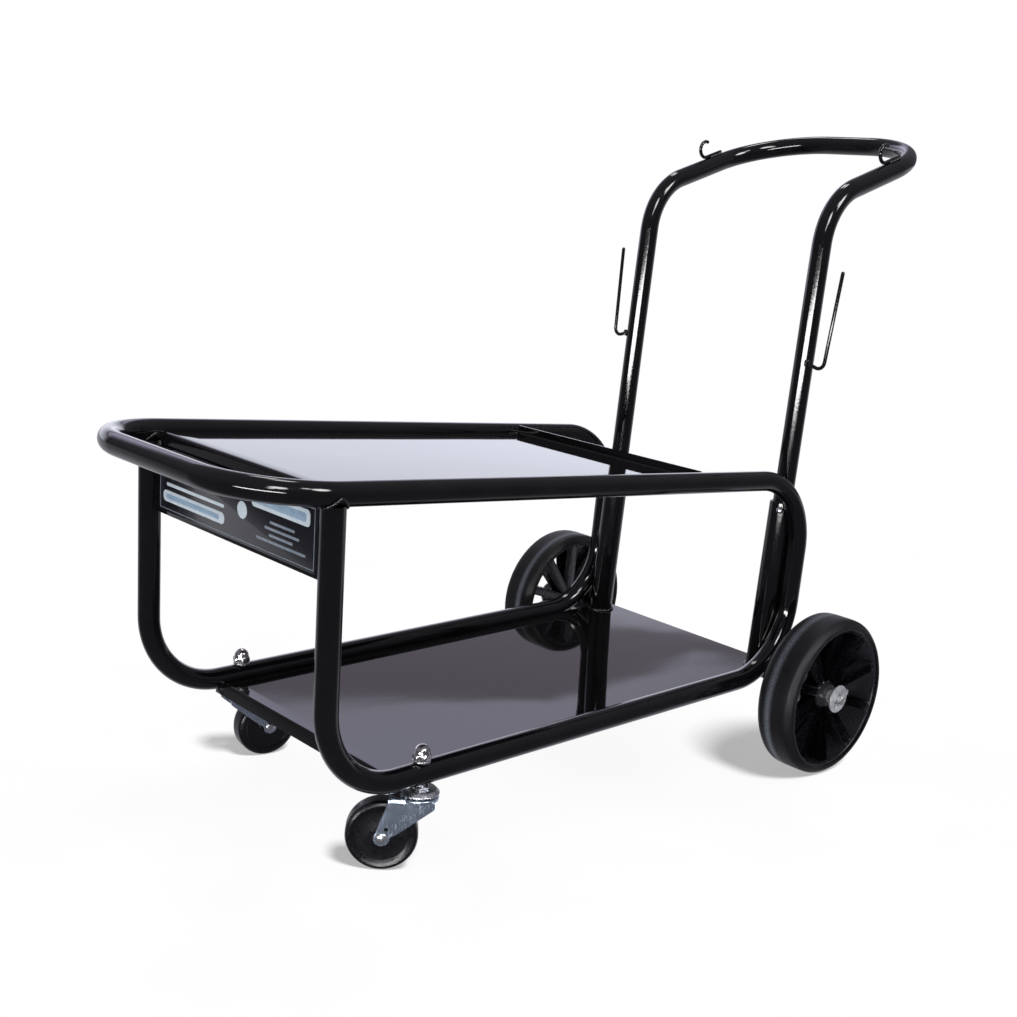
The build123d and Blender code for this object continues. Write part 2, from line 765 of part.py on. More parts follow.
with BuildPart() as caster_fork:
    with BuildSketch(Plane.XY.offset(fork_bottom_z)):
        Circle(21.0)
        with Locations((12.0, 0)):
            Rectangle(38.0, fork_gap + 2 * fork_plate, align=(Align.CENTER, Align.CENTER))
        Circle(stem_d / 2 + running_clearance, mode=Mode.SUBTRACT)
    extrude(amount=fork_plate)
    with BuildSketch(Plane.XZ.offset(fork_y)):
        with BuildLine():
            Polyline(
                (-17.0, fork_top_z),
                (31.0, fork_top_z),
                (caster_trail + 8.4, caster_wheel_r + 1.5),
                (caster_trail - 5.2, caster_wheel_r - 6.8),
                (-13.0, fork_top_z - 13.0),
                close=True,
            )
        make_face()
        with Locations((caster_trail, caster_wheel_r)):
            Circle(8.6)
        with Locations((caster_trail, caster_wheel_r)):
            Circle(rivet_d / 2, mode=Mode.SUBTRACT)
        with Locations((caster_trail - 4.5, caster_wheel_r + 8.8)):
            Circle(2.2, mode=Mode.SUBTRACT)
    extrude(amount=fork_plate)
    mirror(about=Plane.XZ)
    top_edges = caster_fork.edges().filter_by(Axis.X).group_by(Axis.Z)[-1]
    fillet(top_edges.filter_by(lambda edge: edge.length > 12), 2.2)

with BuildPart() as caster_rivet:
    with BuildSketch(Plane.XZ.offset(-fork_y - fork_plate - 1)):
        with Locations((caster_trail, caster_wheel_r)):
            Circle(rivet_d / 2)
    extrude(amount=fork_gap + 2 * fork_plate + 2)
    for side in (-1, 1):
        head_seat = (caster_trail, side * (fork_y + fork_plate), caster_wheel_r)
        with Locations(Location(head_seat, (-90 * side, 0, 0))):
            Cylinder(6.2, 2.4, align=(Align.CENTER, Align.CENTER, Align.MIN))
    head_circles = caster_rivet.edges().filter_by(GeomType.CIRCLE).group_by(SortBy.LENGTH)[-1]
    head_rims = head_circles.group_by(Axis.Y)[0] + head_circles.group_by(Axis.Y)[-1]
    fillet(head_rims, 1.8)

caster_bore_r = 6.0
with BuildPart() as caster_bush:
    with BuildSketch(Plane.XZ.offset(-fork_y + 0.2)):
        with Locations((caster_trail, caster_wheel_r)):
            Circle(caster_bore_r)
            Circle(rivet_d / 2 + running_clearance, mode=Mode.SUBTRACT)
    extrude(amount=fork_gap - 0.4)

caster_wheel_section = Plane(origin=(caster_trail, 0, caster_wheel_r), x_dir=(0, 1, 0), z_dir=(1, 0, 0))
with BuildPart() as caster_wheel:
    with BuildSketch(caster_wheel_section) as caster_profile:
        with Locations((0, caster_bore_r)):
            Rectangle(caster_wheel_width, caster_wheel_r - caster_bore_r, align=(Align.CENTER, Align.MIN))
        fillet(caster_profile.vertices().group_by(Axis.Y)[-1], 4.5)
        # ring grooves moulded into both faces
        for side in (-1, 1):
            for ring_radius in (18.0, 29.5):
                with Locations((side * caster_wheel_width / 2, ring_radius)):
                    RectangleRounded(3.0, 4.0, 1.2, mode=Mode.SUBTRACT)
    revolve(axis=Axis((caster_trail, 0, caster_wheel_r), (0, 1, 0)))

caster_masters = {
    "stem": caster_stem.part,
    "cup": caster_cup.part,
    "balls": caster_balls.part,
    "fork": caster_fork.part,
    "rivet": caster_rivet.part,
    "bush": caster_bush.part,
    "wheel": caster_wheel.part,
}
left_caster = Location((rail_x, caster_y, 0), (0, 0, left_caster_angle))
right_caster = Location((-rail_x, caster_y, 0), (0, 0, right_caster_angle))

for master_name, master in caster_masters.items():
    for side_name, place in (("left", left_caster), ("right", right_caster)):
        node_name = "caster_" + master_name + "_" + side_name
        with BuildPart() as caster_piece:
            with Locations(place):
                add(master)
        caster_piece.part.label = node_name
        export_step(caster_piece.part, "parts/" + node_name + ".step")

with BuildPart() as caster_washers:
    with BuildSketch(Plane.XY.offset(washer_z)):
        with Locations((rail_x, caster_y), (-rail_x, caster_y)):
            Circle(9.6)
            Circle(stem_d / 2 + 0.2, mode=Mode.SUBTRACT)
    extrude(amount=2.0)
caster_washers.part.label = "caster_washers"
export_step(caster_washers.part, "parts/caster_washers.step")

nut_seat_z = washer_z + 2.0
with BuildPart() as caster_cap_nuts:
    with BuildSketch(Plane.XY.offset(nut_seat_z)):
        with Locations((rail_x, caster_y), (-rail_x, caster_y)):
            RegularPolygon(nut_af / 2, 6, major_radius=False)
    extrude(amount=9.0)
    with BuildSketch(Plane.XY.offset(nut_seat_z + 9.0)):
        with Locations((rail_x, caster_y), (-rail_x, caster_y)):
            Circle(8.4)
    extrude(amount=8.0)
    fillet(caster_cap_nuts.edges().group_by(Axis.Z)[-1], 7.0)
    with Locations((rail_x, caster_y, nut_seat_z), (-rail_x, caster_y, nut_seat_z)):
        Cylinder(stem_d / 2, 12.0, align=(Align.CENTER, Align.CENTER, Align.MIN), mode=Mode.SUBTRACT)
caster_cap_nuts.part.label = "caster_cap_nuts"
export_step(caster_cap_nuts.part, "parts/caster_cap_nuts.step")
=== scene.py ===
import math

import bmesh
import bpy
from mathutils import Matrix, Vector, noise


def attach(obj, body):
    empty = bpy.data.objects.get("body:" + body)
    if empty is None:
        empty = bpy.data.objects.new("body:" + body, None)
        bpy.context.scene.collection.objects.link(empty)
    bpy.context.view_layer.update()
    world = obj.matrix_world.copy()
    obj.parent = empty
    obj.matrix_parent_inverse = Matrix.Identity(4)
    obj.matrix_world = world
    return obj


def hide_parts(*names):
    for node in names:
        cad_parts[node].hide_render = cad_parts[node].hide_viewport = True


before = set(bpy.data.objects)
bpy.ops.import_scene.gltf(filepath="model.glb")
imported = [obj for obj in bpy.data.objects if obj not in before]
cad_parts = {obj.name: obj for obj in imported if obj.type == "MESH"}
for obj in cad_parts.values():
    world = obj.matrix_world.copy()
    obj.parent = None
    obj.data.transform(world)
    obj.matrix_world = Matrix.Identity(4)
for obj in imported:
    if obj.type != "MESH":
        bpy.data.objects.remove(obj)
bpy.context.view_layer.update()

scene = bpy.context.scene
MM = 0.001
NO_BEND = Vector((0, 0, 0))
made = {}


# ---------------------------------------------------------------- sizes, in mm, as in the CAD
TUBE_R = 12.5
TUBE_WALL = 1.5
BEND_R = 94.0
UP_Y = -448.1
RAIL_X = 171.0
LOW_Z, LOW_RISE = 103.7, 0.97
TOP_Z, TOP_FALL = 409.9, 3.06
UP_LEAN = 1.81
RISER_Y, RISER_LEAN = UP_Y + 735.4, 1.15
OVERHANG = 96.0
BUTT = 60.0
SHEET = 2.0
LEG_X, LEG_Y, LEG_LEAN = 144.6, UP_Y + 725.3, 2.06
KNEE_Z, KNEE_R = 722.8, 82.0
ARM_RISE, ARM_LENGTH, ARM_R = 18.9, 258.4, 112.0
SOCKET_R, SOCKET_BORE_R, SOCKET_TOP = 16.2, 12.8, 337.0
WIRE_R = 2.4
AXLE = Vector((0, UP_Y + 739.0, 102.4))
WHEEL_X, WHEEL_R, WHEEL_W = 236.0, 102.4, 55.0
RIM_R, RIM_WALL, RIM_HALF = 93.0, 4.0, 23.0
CASTER_Y = UP_Y + 123.0
TRAIL = 35.5
CASTER_R = 38.0
CASTER_ANGLE = {"left": -130.0, "right": 82.0}
SIGN = {"left": 1, "right": -1}


# ---------------------------------------------------------------- mesh helpers
def around(degrees, radius=1.0):
    """(a, b) of a point on a circle about the origin."""
    angle = math.radians(degrees)
    return radius * math.cos(angle), radius * math.sin(angle)


def circle(count, radius=1.0):
    """count points round a circle, as (a, b) pairs."""
    return [around(360 * k / count, radius) for k in range(count)]


def basis(origin, x_dir, z_dir):
    """Matrix of a frame from its origin, a rough x direction and its z direction."""
    z = Vector(z_dir).normalized()
    x = Vector(x_dir)
    x = (x - z * x.dot(z)).normalized()
    place = Matrix((x, z.cross(x), z)).transposed().to_4x4()
    place.translation = Vector(origin)
    return place


def fillet(points, radii, closed=False, step=6.0):
    """[(point, inward)] along a polyline with its corners rounded; inward points at the bend's centre."""
    points = [Vector(p).to_3d() for p in points]
    count = len(points)
    if not hasattr(radii, "__len__"):
        radii = [radii] * count
    out = []
    for i, corner in enumerate(points):
        if not closed and i in (0, count - 1) or radii[i] <= 0:
            out.append((corner, NO_BEND))
            continue
        back = (points[i - 1] - corner).normalized()
        on = (points[(i + 1) % count] - corner).normalized()
        angle = back.angle(on)
        if angle > math.pi - 0.01:
            out.append((corner, NO_BEND))
            continue
        centre = corner + (back + on).normalized() * (radii[i] / math.sin(angle / 2))
        reach = radii[i] / math.tan(angle / 2)
        first = corner + back * reach - centre
        last = corner + on * reach - centre
        turn = math.pi - angle
        steps = max(2, math.ceil(math.degrees(turn) / step))
        for k in range(steps + 1):
            f = k / steps
            arm = (first * math.sin((1 - f) * turn) + last * math.sin(f * turn)) / math.sin(turn)
            ramp = min(1.0, 4 * f, 4 * (1 - f))
            out.append((centre + arm, -arm.normalized() * ramp))
    return out


def skin(bm, rings, closed=False, slot=0):
    """Joins rings of points into a closed surface."""
    rows = [[bm.verts.new(p) for p in ring] for ring in rings]
    pairs = list(zip(rows, rows[1:]))
    if closed:
        pairs.append((rows[-1], rows[0]))
    faces = []
    for low, high in pairs:
        for i in range(len(low)):
            j = (i + 1) % len(low)
            faces.append(bm.faces.new((low[i], low[j], high[j], high[i])))
    if not closed:
        faces.append(bm.faces.new(list(reversed(rows[0]))))
        faces.append(bm.faces.new(rows[-1]))
    for face in faces:
        face.material_index = slot


def sweep(bm, path, radius, bore=0.0, sides=40, flatten=0.0, radius_at=None, closed=False):
    """A round bar or tube along a path of (point, inward) pairs."""
    points = [p for p, _ in path]
    last = len(points) - 1
    tangents = []
    for i in range(last + 1):
        ahead = points[(i + 1) % (last + 1)] if closed or i < last else points[i]
        behind = points[i - 1] if closed or i > 0 else points[i]
        tangents.append((ahead - behind).normalized())
    u = tangents[0].orthogonal().normalized()
    outer, inner = [], []
    for i, (point, inward) in enumerate(path):
        u = (u - tangents[i] * u.dot(tangents[i])).normalized()
        v = tangents[i].cross(u)
        r = radius if radius_at is None else radius_at[i]
        for store, size in ((outer, r), (inner, bore)):
            ring = []
            for a, b in circle(sides, size):
                arm = u * a + v * b
                if flatten and inward.length > 0:
                    n = inward.normalized()
                    arm -= n * (arm.dot(n) * flatten * inward.length)
                ring.append(point + arm)
            store.append(ring)
    if closed:
        skin(bm, outer, True)
    elif bore:
        skin(bm, outer + inner[::-1], True)
    else:
        skin(bm, outer)


def resample(points, spacing, closed=False):
    """Points at even spacing along a polyline."""
    points = list(points) + ([points[0]] if closed else [])
    lengths = [0.0]
    for a, b in zip(points, points[1:]):
        lengths.append(lengths[-1] + (b - a).length)
    count = max(4, round(lengths[-1] / spacing))
    out = []
    seg = 0
    for k in range(count if closed else count + 1):
        s = lengths[-1] * k / count
        while seg < len(points) - 2 and lengths[seg + 1] < s:
            seg += 1
        span = lengths[seg + 1] - lengths[seg]
        out.append(points[seg].lerp(points[seg + 1], (s - lengths[seg]) / span if span else 0))
    return out


def wire(bm, path, r=WIRE_R, sides=20):
    """A bent wire with rounded ends."""
    points = [p for p, _ in path]
    start = (points[1] - points[0]).normalized()
    end = (points[-2] - points[-1]).normalized()
    heads, tails, radii_in, radii_out = [], [], [], []
    for beta in (12, 35, 60):
        b = math.radians(beta)
        heads.append((points[0] + start * r * (1 - math.cos(b)), NO_BEND))
        tails.insert(0, (points[-1] + end * r * (1 - math.cos(b)), NO_BEND))
        radii_in.append(r * math.sin(b))
        radii_out.insert(0, r * math.sin(b))
    body = list(path)
    body[0] = (points[0] + start * r, body[0][1])
    body[-1] = (points[-1] + end * r, body[-1][1])
    radii = radii_in + [r] * len(body) + radii_out
    sweep(bm, heads + body + tails, r, sides=sides, radius_at=radii)


def bead(bm, points, r, pitch, closed=False):
    """A weld bead of overlapping ripples along a line."""
    per_ripple = 5
    line = resample(points, pitch / per_ripple, closed)
    count = len(line)
    radii = []
    for i in range(count):
        ripple = 0.80 + 0.20 * abs(math.sin(math.pi * i / per_ripple)) ** 0.6
        ripple *= 1 + 0.10 * noise.noise(line[i] * 0.35)
        end = 1.0 if closed else min(1.0, 0.35 + 0.25 * min(i, count - 1 - i))
        radii.append(r * ripple * end)
    sweep(bm, [(p, NO_BEND) for p in line], r, sides=14, radius_at=radii, closed=closed)


def lathe(bm, profile, place, closed=True, sides=96):
    """Revolves (along, radius) pairs about the local z axis of place."""
    skin(bm, [[place @ Vector((a, b, along)) for a, b in circle(sides, r)] for along, r in profile], closed)


def loop2(points, radii, step=12.0):
    """A closed 2-D outline with rounded corners, as (a, b) pairs."""
    return [(p.x, p.y) for p, _ in fillet(points, radii, True, step)]


def inset(outline, gap):
    """An outline moved inward by gap."""
    area = sum(a[0] * b[1] - b[0] * a[1] for a, b in zip(outline, outline[1:] + outline[:1]))
    turn = 1 if area > 0 else -1
    out = []
    count = len(outline)
    for i in range(count):
        before = Vector(outline[i]) - Vector(outline[i - 1])
        after = Vector(outline[(i + 1) % count]) - Vector(outline[i])
        before.normalize()
        after.normalize()
        n = Vector((-(before.y + after.y), before.x + after.x)) * turn
        size = max(0.3, n.length / 2)
        n.normalize()
        out.append((outline[i][0] + n.x * gap / size, outline[i][1] + n.y * gap / size))
    return out


def slab(bm, outline, low, high, place, edge=0.35, slot=0):
    """A flat plate of an outline between two local heights, its edges eased."""
    rings = []
    for height, gap in ((low, edge), (low + edge * 0.4, edge * 0.3), (low + edge, 0),
                        (high - edge, 0), (high - edge * 0.4, edge * 0.3), (high, edge)):
        shape = inset(outline, gap) if gap else outline
        rings.append([place @ Vector((a, b, height)) for a, b in shape])
    skin(bm, rings, False, slot)


def hex_radius(degrees, across):
    """Radius of a hexagon of the given width across flats at an angle."""
    return across / 2 / math.cos(math.radians((degrees + 30) % 60 - 30))


def hex_rings(levels, across, place, sides=72):
    """Rings of a hexagon bar; each level is (height, largest radius allowed there)."""
    rings = []
    for height, limit in levels:
        ring = []
        for k in range(sides):
            degrees = 360 * k / sides
            a, b = around(degrees, min(limit, hex_radius(degrees, across)))
            ring.append(place @ Vector((a, b, height)))
        rings.append(ring)
    return rings


def piece(name, bm, materials, body, crease=35.0):
    """Makes the object that replaces the CAD node of its name, with materials, on a CAD body."""
    for v in bm.verts:
        v.co *= MM
    bmesh.ops.recalc_face_normals(bm, faces=bm.faces)
    mesh = bpy.data.meshes.new(name)
    bm.to_mesh(mesh)
    bm.free()
    mesh.polygons.foreach_set("use_smooth", [True] * len(mesh.polygons))
    mesh.set_sharp_from_angle(angle=math.radians(crease))
    for m in materials if isinstance(materials, (list, tuple)) else [materials]:
        mesh.materials.append(m)
    ob = bpy.data.objects.new(name, mesh)
    scene.collection.objects.link(ob)
    made[name] = ob
    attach(ob, body)
    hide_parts(name)
    return ob


def boolean(ob, cutter_bm, operation):
    """Cuts or joins a closed mesh into a piece and bakes the result."""
    for v in cutter_bm.verts:
        v.co *= MM
    bmesh.ops.recalc_face_normals(cutter_bm, faces=cutter_bm.faces)
    mesh = bpy.data.meshes.new("cutter")
    cutter_bm.to_mesh(mesh)
    cutter_bm.free()
    cutter = bpy.data.objects.new("cutter", mesh)
    scene.collection.objects.link(cutter)
    modifier = ob.modifiers.new("cut", "BOOLEAN")
    modifier.operation = operation
    modifier.solver = "EXACT"
    modifier.object = cutter
    graph = bpy.context.evaluated_depsgraph_get()
    baked = bpy.data.meshes.new_from_object(ob.evaluated_get(graph))
    ob.modifiers.clear()
    ob.data = baked
    baked.set_sharp_from_angle(angle=math.radians(35))
    bpy.data.objects.remove(cutter)


def mirrored(bm):
    """Adds the right-hand copy of everything in the mesh."""
    copy = bmesh.ops.duplicate(bm, geom=bm.verts[:] + bm.edges[:] + bm.faces[:])
    for v in (g for g in copy["geom"] if isinstance(g, bmesh.types.BMVert)):
        v.co.x *= -1


# ---------------------------------------------------------------- materials
def node(tree, kind, inputs=None, **settings):
    """Adds a shader node; inputs maps a socket name or number to a value or to another node's output."""
    n = tree.nodes.new(kind)
    for key, value in settings.items():
        setattr(n, key, value)
    for key, value in (inputs or {}).items():
        if isinstance(value, bpy.types.NodeSocket):
            tree.links.new(value, n.inputs[key])
        else:
            n.inputs[key].default_value = value
    return n


def speckle(tree, where, scale, detail=2.0, stretch=None):
    """A noise value about 0.5 with features of about 1/scale metres."""
    if stretch:
        where = node(tree, "ShaderNodeVectorMath", {0: where, 1: stretch}, operation="MULTIPLY").outputs[0]
    inputs = {"Vector": where, "Scale": scale, "Detail": detail}
    return node(tree, "ShaderNodeTexNoise", inputs).outputs["Fac"]


def remap(tree, value, low, high, to_low=0.0, to_high=1.0):
    """Carries low..high over to to_low..to_high and clamps outside it."""
    inputs = {"Value": value, "From Min": low, "From Max": high, "To Min": to_low, "To Max": to_high}
    return node(tree, "ShaderNodeMapRange", inputs).outputs["Result"]


def calc(tree, operation, *values):
    """The result of a math node."""
    return node(tree, "ShaderNodeMath", dict(enumerate(values)), operation=operation).outputs[0]


def component(tree, vector, axis):
    return node(tree, "ShaderNodeSeparateXYZ", {0: vector}).outputs[axis]


def blend(tree, factor, first, second):
    """A colour between first and second."""
    mix = node(tree, "ShaderNodeMix", data_type="RGBA")
    for key, value in ((0, factor), (6, first), (7, second)):
        if isinstance(value, bpy.types.NodeSocket):
            tree.links.new(value, mix.inputs[key])
        else:
            mix.inputs[key].default_value = value if key == 0 else (*value, 1)
    return mix.outputs[2]


DUST = (0.30, 0.29, 0.28)


def surface(name, light, dark, rough, metallic=0.0, coat=0.0, relief=(), mottle=18.0, dust=0.0,
            stretch=None, ior=1.5, edge=None, highlight_band=None):
    """A procedural material whose colour and roughness drift with noise.

    relief is [(features per metre, mm)], dust its amount on upward faces, edge the colour of a painted
    highlight on sharp edges, and the last argument a speckled painted highlight band round a wheel: its |x|,
    its half width and its colour.
    """
    material = bpy.data.materials.new(name)
    material.use_nodes = True
    tree = material.node_tree
    tree.nodes.clear()
    where = node(tree, "ShaderNodeTexCoord").outputs["Object"]
    drift = speckle(tree, where, mottle, 4.0, stretch)
    fine = speckle(tree, where, mottle * 14, 3.0, stretch)
    colour = blend(tree, remap(tree, drift, 0.3, 0.7), dark, light)
    if edge:
        # painted highlight: convex edges, where pointiness is high, are lightened toward the edge colour
        sharp = node(tree, "ShaderNodeNewGeometry").outputs["Pointiness"]
        colour = blend(tree, remap(tree, sharp, 0.51, 0.60, 0.0, 0.7), colour, edge)
    if dust:
        up = component(tree, node(tree, "ShaderNodeNewGeometry").outputs["Normal"], "Z")
        lying = remap(tree, up, 0.2, 1.0, 0.0, dust)
        grains = remap(tree, fine, 0.45, 0.75)
        colour = blend(tree, calc(tree, "MULTIPLY", lying, grains), colour, DUST)
    if highlight_band:
        band_x, band_half, band_colour = highlight_band
        # painted highlight: a speckled light band round the tread at a set |x|, fading to each side
        across = calc(tree, "ABSOLUTE", component(tree, where, "X"))
        off = calc(tree, "ABSOLUTE", calc(tree, "SUBTRACT", across, band_x * MM))
        band = remap(tree, off, 0.15 * band_half * MM, band_half * MM, 1.0, 0.0)
        flecks = remap(tree, speckle(tree, where, 900, 4.0), 0.36, 0.62, 0.15, 1.0)
        colour = blend(tree, calc(tree, "MULTIPLY", band, flecks), colour, band_colour)
    roughness = remap(tree, fine, 0.25, 0.75, rough[0], rough[1])
    normal = None
    for scale, height in relief:
        bumps = speckle(tree, where, scale, 2.0, stretch)
        inputs = {"Strength": 1.0, "Distance": height * MM, "Height": bumps}
        if normal:
            inputs["Normal"] = normal
        normal = node(tree, "ShaderNodeBump", inputs).outputs["Normal"]
    inputs = {
        "Base Color": colour,
        "Roughness": roughness,
        "Metallic": metallic,
        "IOR": ior,
        "Coat Weight": coat,
        "Coat Roughness": 0.04,
    }
    if normal:
        inputs["Normal"] = normal
        inputs["Coat Normal"] = normal
    shader = node(tree, "ShaderNodeBsdfPrincipled", inputs)
    node(tree, "ShaderNodeOutputMaterial", {"Surface": shader.outputs[0]})
    return material


enamel = surface("black_enamel", (0.0062, 0.0058, 0.0074), (0.0032, 0.0031, 0.0040), (0.06, 0.10),
                 coat=0.12, relief=((230, 0.026), (1500, 0.004)), dust=0.02)
deck_enamel = surface("deck_enamel", (0.0075, 0.0074, 0.0085), (0.005, 0.005, 0.0055), (0.025, 0.04),
                      relief=((150, 0.006), (1300, 0.0008)), dust=0.01)
weld_enamel = surface("weld_enamel", (0.009, 0.009, 0.010), (0.004, 0.004, 0.005), (0.08, 0.18), coat=0.4,
                      relief=((700, 0.06), (2200, 0.02)), dust=0.02)
wire_enamel = surface("wire_enamel", (0.007, 0.007, 0.008), (0.004, 0.004, 0.005), (0.10, 0.18), coat=0.3,
                      relief=((900, 0.015),), dust=0.02)
# tyre rubber; its tread carries a speckled painted highlight band 7 mm inboard of the middle
rubber = surface("tyre_rubber", (0.0090, 0.0092, 0.0116), (0.0042, 0.0042, 0.0054), (0.44, 0.60),
                 relief=((420, 0.05), (2600, 0.03)), mottle=24, dust=0.02, ior=1.42,
                 highlight_band=(WHEEL_X - 7.0, 6.5, (0.17, 0.185, 0.23)))
# hub plastic with painted highlights: its sharp rib edges are lightened toward a pale grey
hub_plastic = surface("hub_plastic", (0.040, 0.039, 0.048), (0.026, 0.025, 0.032), (0.22, 0.34),
                      relief=((1800, 0.008),), mottle=30, dust=0.01, edge=(0.15, 0.15, 0.18))
caster_plastic = surface("caster_plastic", (0.0064, 0.0066, 0.0100), (0.0046, 0.0048, 0.0074), (0.26, 0.30),
                         mottle=12)
bush_plastic = surface("bush_plastic", (0.55, 0.52, 0.44), (0.44, 0.41, 0.34), (0.35, 0.5),
                       relief=((1500, 0.02),))
zinc = surface("bright_zinc", (0.80, 0.82, 0.86), (0.58, 0.60, 0.65), (0.20, 0.34), metallic=0.92,
               relief=((900, 0.004),), mottle=60)
soft_zinc = surface("soft_zinc", (0.80, 0.82, 0.86), (0.52, 0.53, 0.57), (0.32, 0.48), metallic=0.55,
                    relief=((900, 0.008), (3200, 0.003)), mottle=220)
fork_zinc = surface("fork_zinc", (0.56, 0.65, 0.78), (0.36, 0.43, 0.54), (0.18, 0.30), metallic=0.85,
                    mottle=30, stretch=(1.0, 1.0, 0.25))
steel = surface("drawn_steel", (0.58, 0.58, 0.59), (0.42, 0.42, 0.43), (0.34, 0.50), metallic=0.72,
                relief=((1200, 0.006),), mottle=50, stretch=(0.1, 1.0, 1.0))
chrome = surface("cap_nut_chrome", (0.72, 0.69, 0.70), (0.34, 0.32, 0.34), (0.14, 0.24), metallic=0.92,
                 relief=((700, 0.012),), mottle=160)
ball_steel = surface("ball_steel", (0.72, 0.72, 0.72), (0.6, 0.6, 0.6), (0.08, 0.15), metallic=1.0,
                     mottle=80)
film = surface("decal_film", (0.011, 0.011, 0.016), (0.007, 0.007, 0.011), (0.16, 0.24), coat=0.2,
               relief=((60, 0.02), (1600, 0.004)))
print_pale = surface("print_pale", (0.74, 0.82, 0.90), (0.62, 0.72, 0.82), (0.25, 0.38), mottle=120,
                     relief=((1800, 0.004),))
print_blue = surface("print_blue", (0.36, 0.50, 0.66), (0.26, 0.40, 0.56), (0.25, 0.38), mottle=120,
                     relief=((1800, 0.004),))
print_soft = surface("print_soft", (0.30, 0.34, 0.42), (0.20, 0.24, 0.31), (0.25, 0.38), mottle=120,
                     relief=((1800, 0.004),))


# ---------------------------------------------------------------- shared lines of the frame
def tan(degrees):
    return math.tan(math.radians(degrees))


def rail_low(y):
    return LOW_Z + (y - UP_Y) * tan(LOW_RISE)


def rail_top(y):
    return TOP_Z - (y - UP_Y) * tan(TOP_FALL)


def leg_y(z):
    return LEG_Y + (z - LOW_Z) * tan(LEG_LEAN)


def tilted(height, degrees):
    """A level place on the middle plane at the uprights' y, turned about X by degrees."""
    return basis((0, UP_Y, height), (1, 0, 0), (0, *around(90 + degrees)))


def crossing(point_a, angle_a, point_b, angle_b):
    """Where two lines in the Y-Z plane cross; angles are in degrees from +Y."""
    ca, sa = around(angle_a)
    cb, sb = around(angle_b)
    along = ((point_b[0] - point_a[0]) * sb - (point_b[1] - point_a[1]) * cb) / (ca * sb - sa * cb)
    return (point_a[0] + along * ca, point_a[1] + along * sa)


top_place = tilted(TOP_Z, -TOP_FALL)
shelf_place = tilted(LOW_Z, LOW_RISE)
arm_dir = Vector((0, *around(ARM_RISE)))
leg_dir = Vector((0, *around(90 - LEG_LEAN)))
knee = Vector((LEG_X, leg_y(KNEE_Z), KNEE_Z))

low_line = ((UP_Y, LOW_Z), LOW_RISE)
high_line = ((UP_Y, TOP_Z), -TOP_FALL)
upright_line = ((UP_Y, LOW_Z), 90 + UP_LEAN)
riser_line = ((RISER_Y, LOW_Z), 90 - RISER_LEAN)
butt_y = UP_Y + around(TOP_FALL, BUTT)[0]
hoop_corners = [
    crossing(*upright_line, *high_line),
    crossing(*upright_line, *low_line),
    crossing(*low_line, *riser_line),
    crossing(*riser_line, *high_line),
    (butt_y, rail_top(butt_y)),
]



# ---------------------------------------------------------------- side hoops and front loop
def frame_tube(bm, corners, radii):
    """A bent tube, slightly flattened in its bends."""
    sweep(bm, fillet(corners, radii, step=3.0), TUBE_R, TUBE_R - TUBE_WALL, sides=48, flatten=0.035)


for side in ("left", "right"):
    x = RAIL_X * SIGN[side]
    bm = bmesh.new()
    corners = [Vector((x, y, z)) for y, z in hoop_corners]
    # the upright stops just inside the underside of the front loop
    corners[0] = corners[0] + (corners[1] - corners[0]).normalized() * (TUBE_R - 2.0)
    frame_tube(bm, corners, BEND_R)
    piece("side_hoop_" + side, bm, enamel, "frame")

bm = bmesh.new()
loop_line = [(-RAIL_X, BUTT), (-RAIL_X, -OVERHANG), (RAIL_X, -OVERHANG), (RAIL_X, BUTT)]
frame_tube(bm, [top_place @ Vector((x, s, 0)) for x, s in loop_line], OVERHANG - 0.5)
piece("front_loop_tube", bm, enamel, "frame")


# ---------------------------------------------------------------- decks
def waviness(x, s):
    """How far a sheet stands off flat, in mm."""
    long_wave = 0.22 * noise.noise(Vector((x / 150.0, s / 190.0, 3.1)))
    return long_wave + 0.05 * noise.noise(Vector((x / 45.0, s / 60.0, 8.4)))


def folded_sheet(bm, centre_line, columns, place, trim=None):
    """A sheet of even thickness: centre_line is [(along, height)], columns are x positions."""
    count = len(centre_line)
    sides = []
    for i in range(count):
        before = centre_line[max(i - 1, 0)]
        after = centre_line[min(i + 1, count - 1)]
        d = Vector((after[0] - before[0], after[1] - before[1])).normalized()
        sides.append(Vector((-d.y, d.x)) * (SHEET / 2))
    rings = []
    for x in columns:
        ring = []
        for sign in (1, -1):
            order = range(count) if sign > 0 else range(count - 1, -1, -1)
            for i in order:
                s, h = centre_line[i]
                if trim:
                    s, h = trim(x, s, h)
                off = sides[i] * sign
                ring.append(place @ Vector((x, s + off.x, h + off.y + waviness(x, s))))
        rings.append(ring)
    skin(bm, rings)


def dense(points, spacing=14.0):
    """Adds points along the long straight runs of a 2-D line."""
    out = [points[0]]
    for a, b in zip(points, points[1:]):
        length = math.dist(a, b)
        parts = max(1, round(length / spacing))
        for k in range(1, parts + 1):
            out.append((a[0] + (b[0] - a[0]) * k / parts, a[1] + (b[1] - a[1]) * k / parts))
    return out


def open2(points, radii, step=18.0):
    """An open 2-D line with rounded corners, as (a, b) pairs."""
    return [(p.x, p.y) for p, _ in fillet(points, radii, False, step)]


TRAY_FRONT, TRAY_REAR, TRAY_H, TRAY_LIP, TRAY_FLANGE = -4.0, 541.0, 1.0, 20.0, 10.5
LIP_HALF, LIP_TAPER = 154.0, 3.0
tray_line = dense(open2([
    (TRAY_FRONT + SHEET / 2, TRAY_H - TRAY_LIP),
    (TRAY_FRONT + SHEET / 2, TRAY_H - SHEET / 2),
    (TRAY_REAR - SHEET / 2, TRAY_H - SHEET / 2),
    (TRAY_REAR - SHEET / 2, TRAY_H + TRAY_FLANGE),
], 3.0))


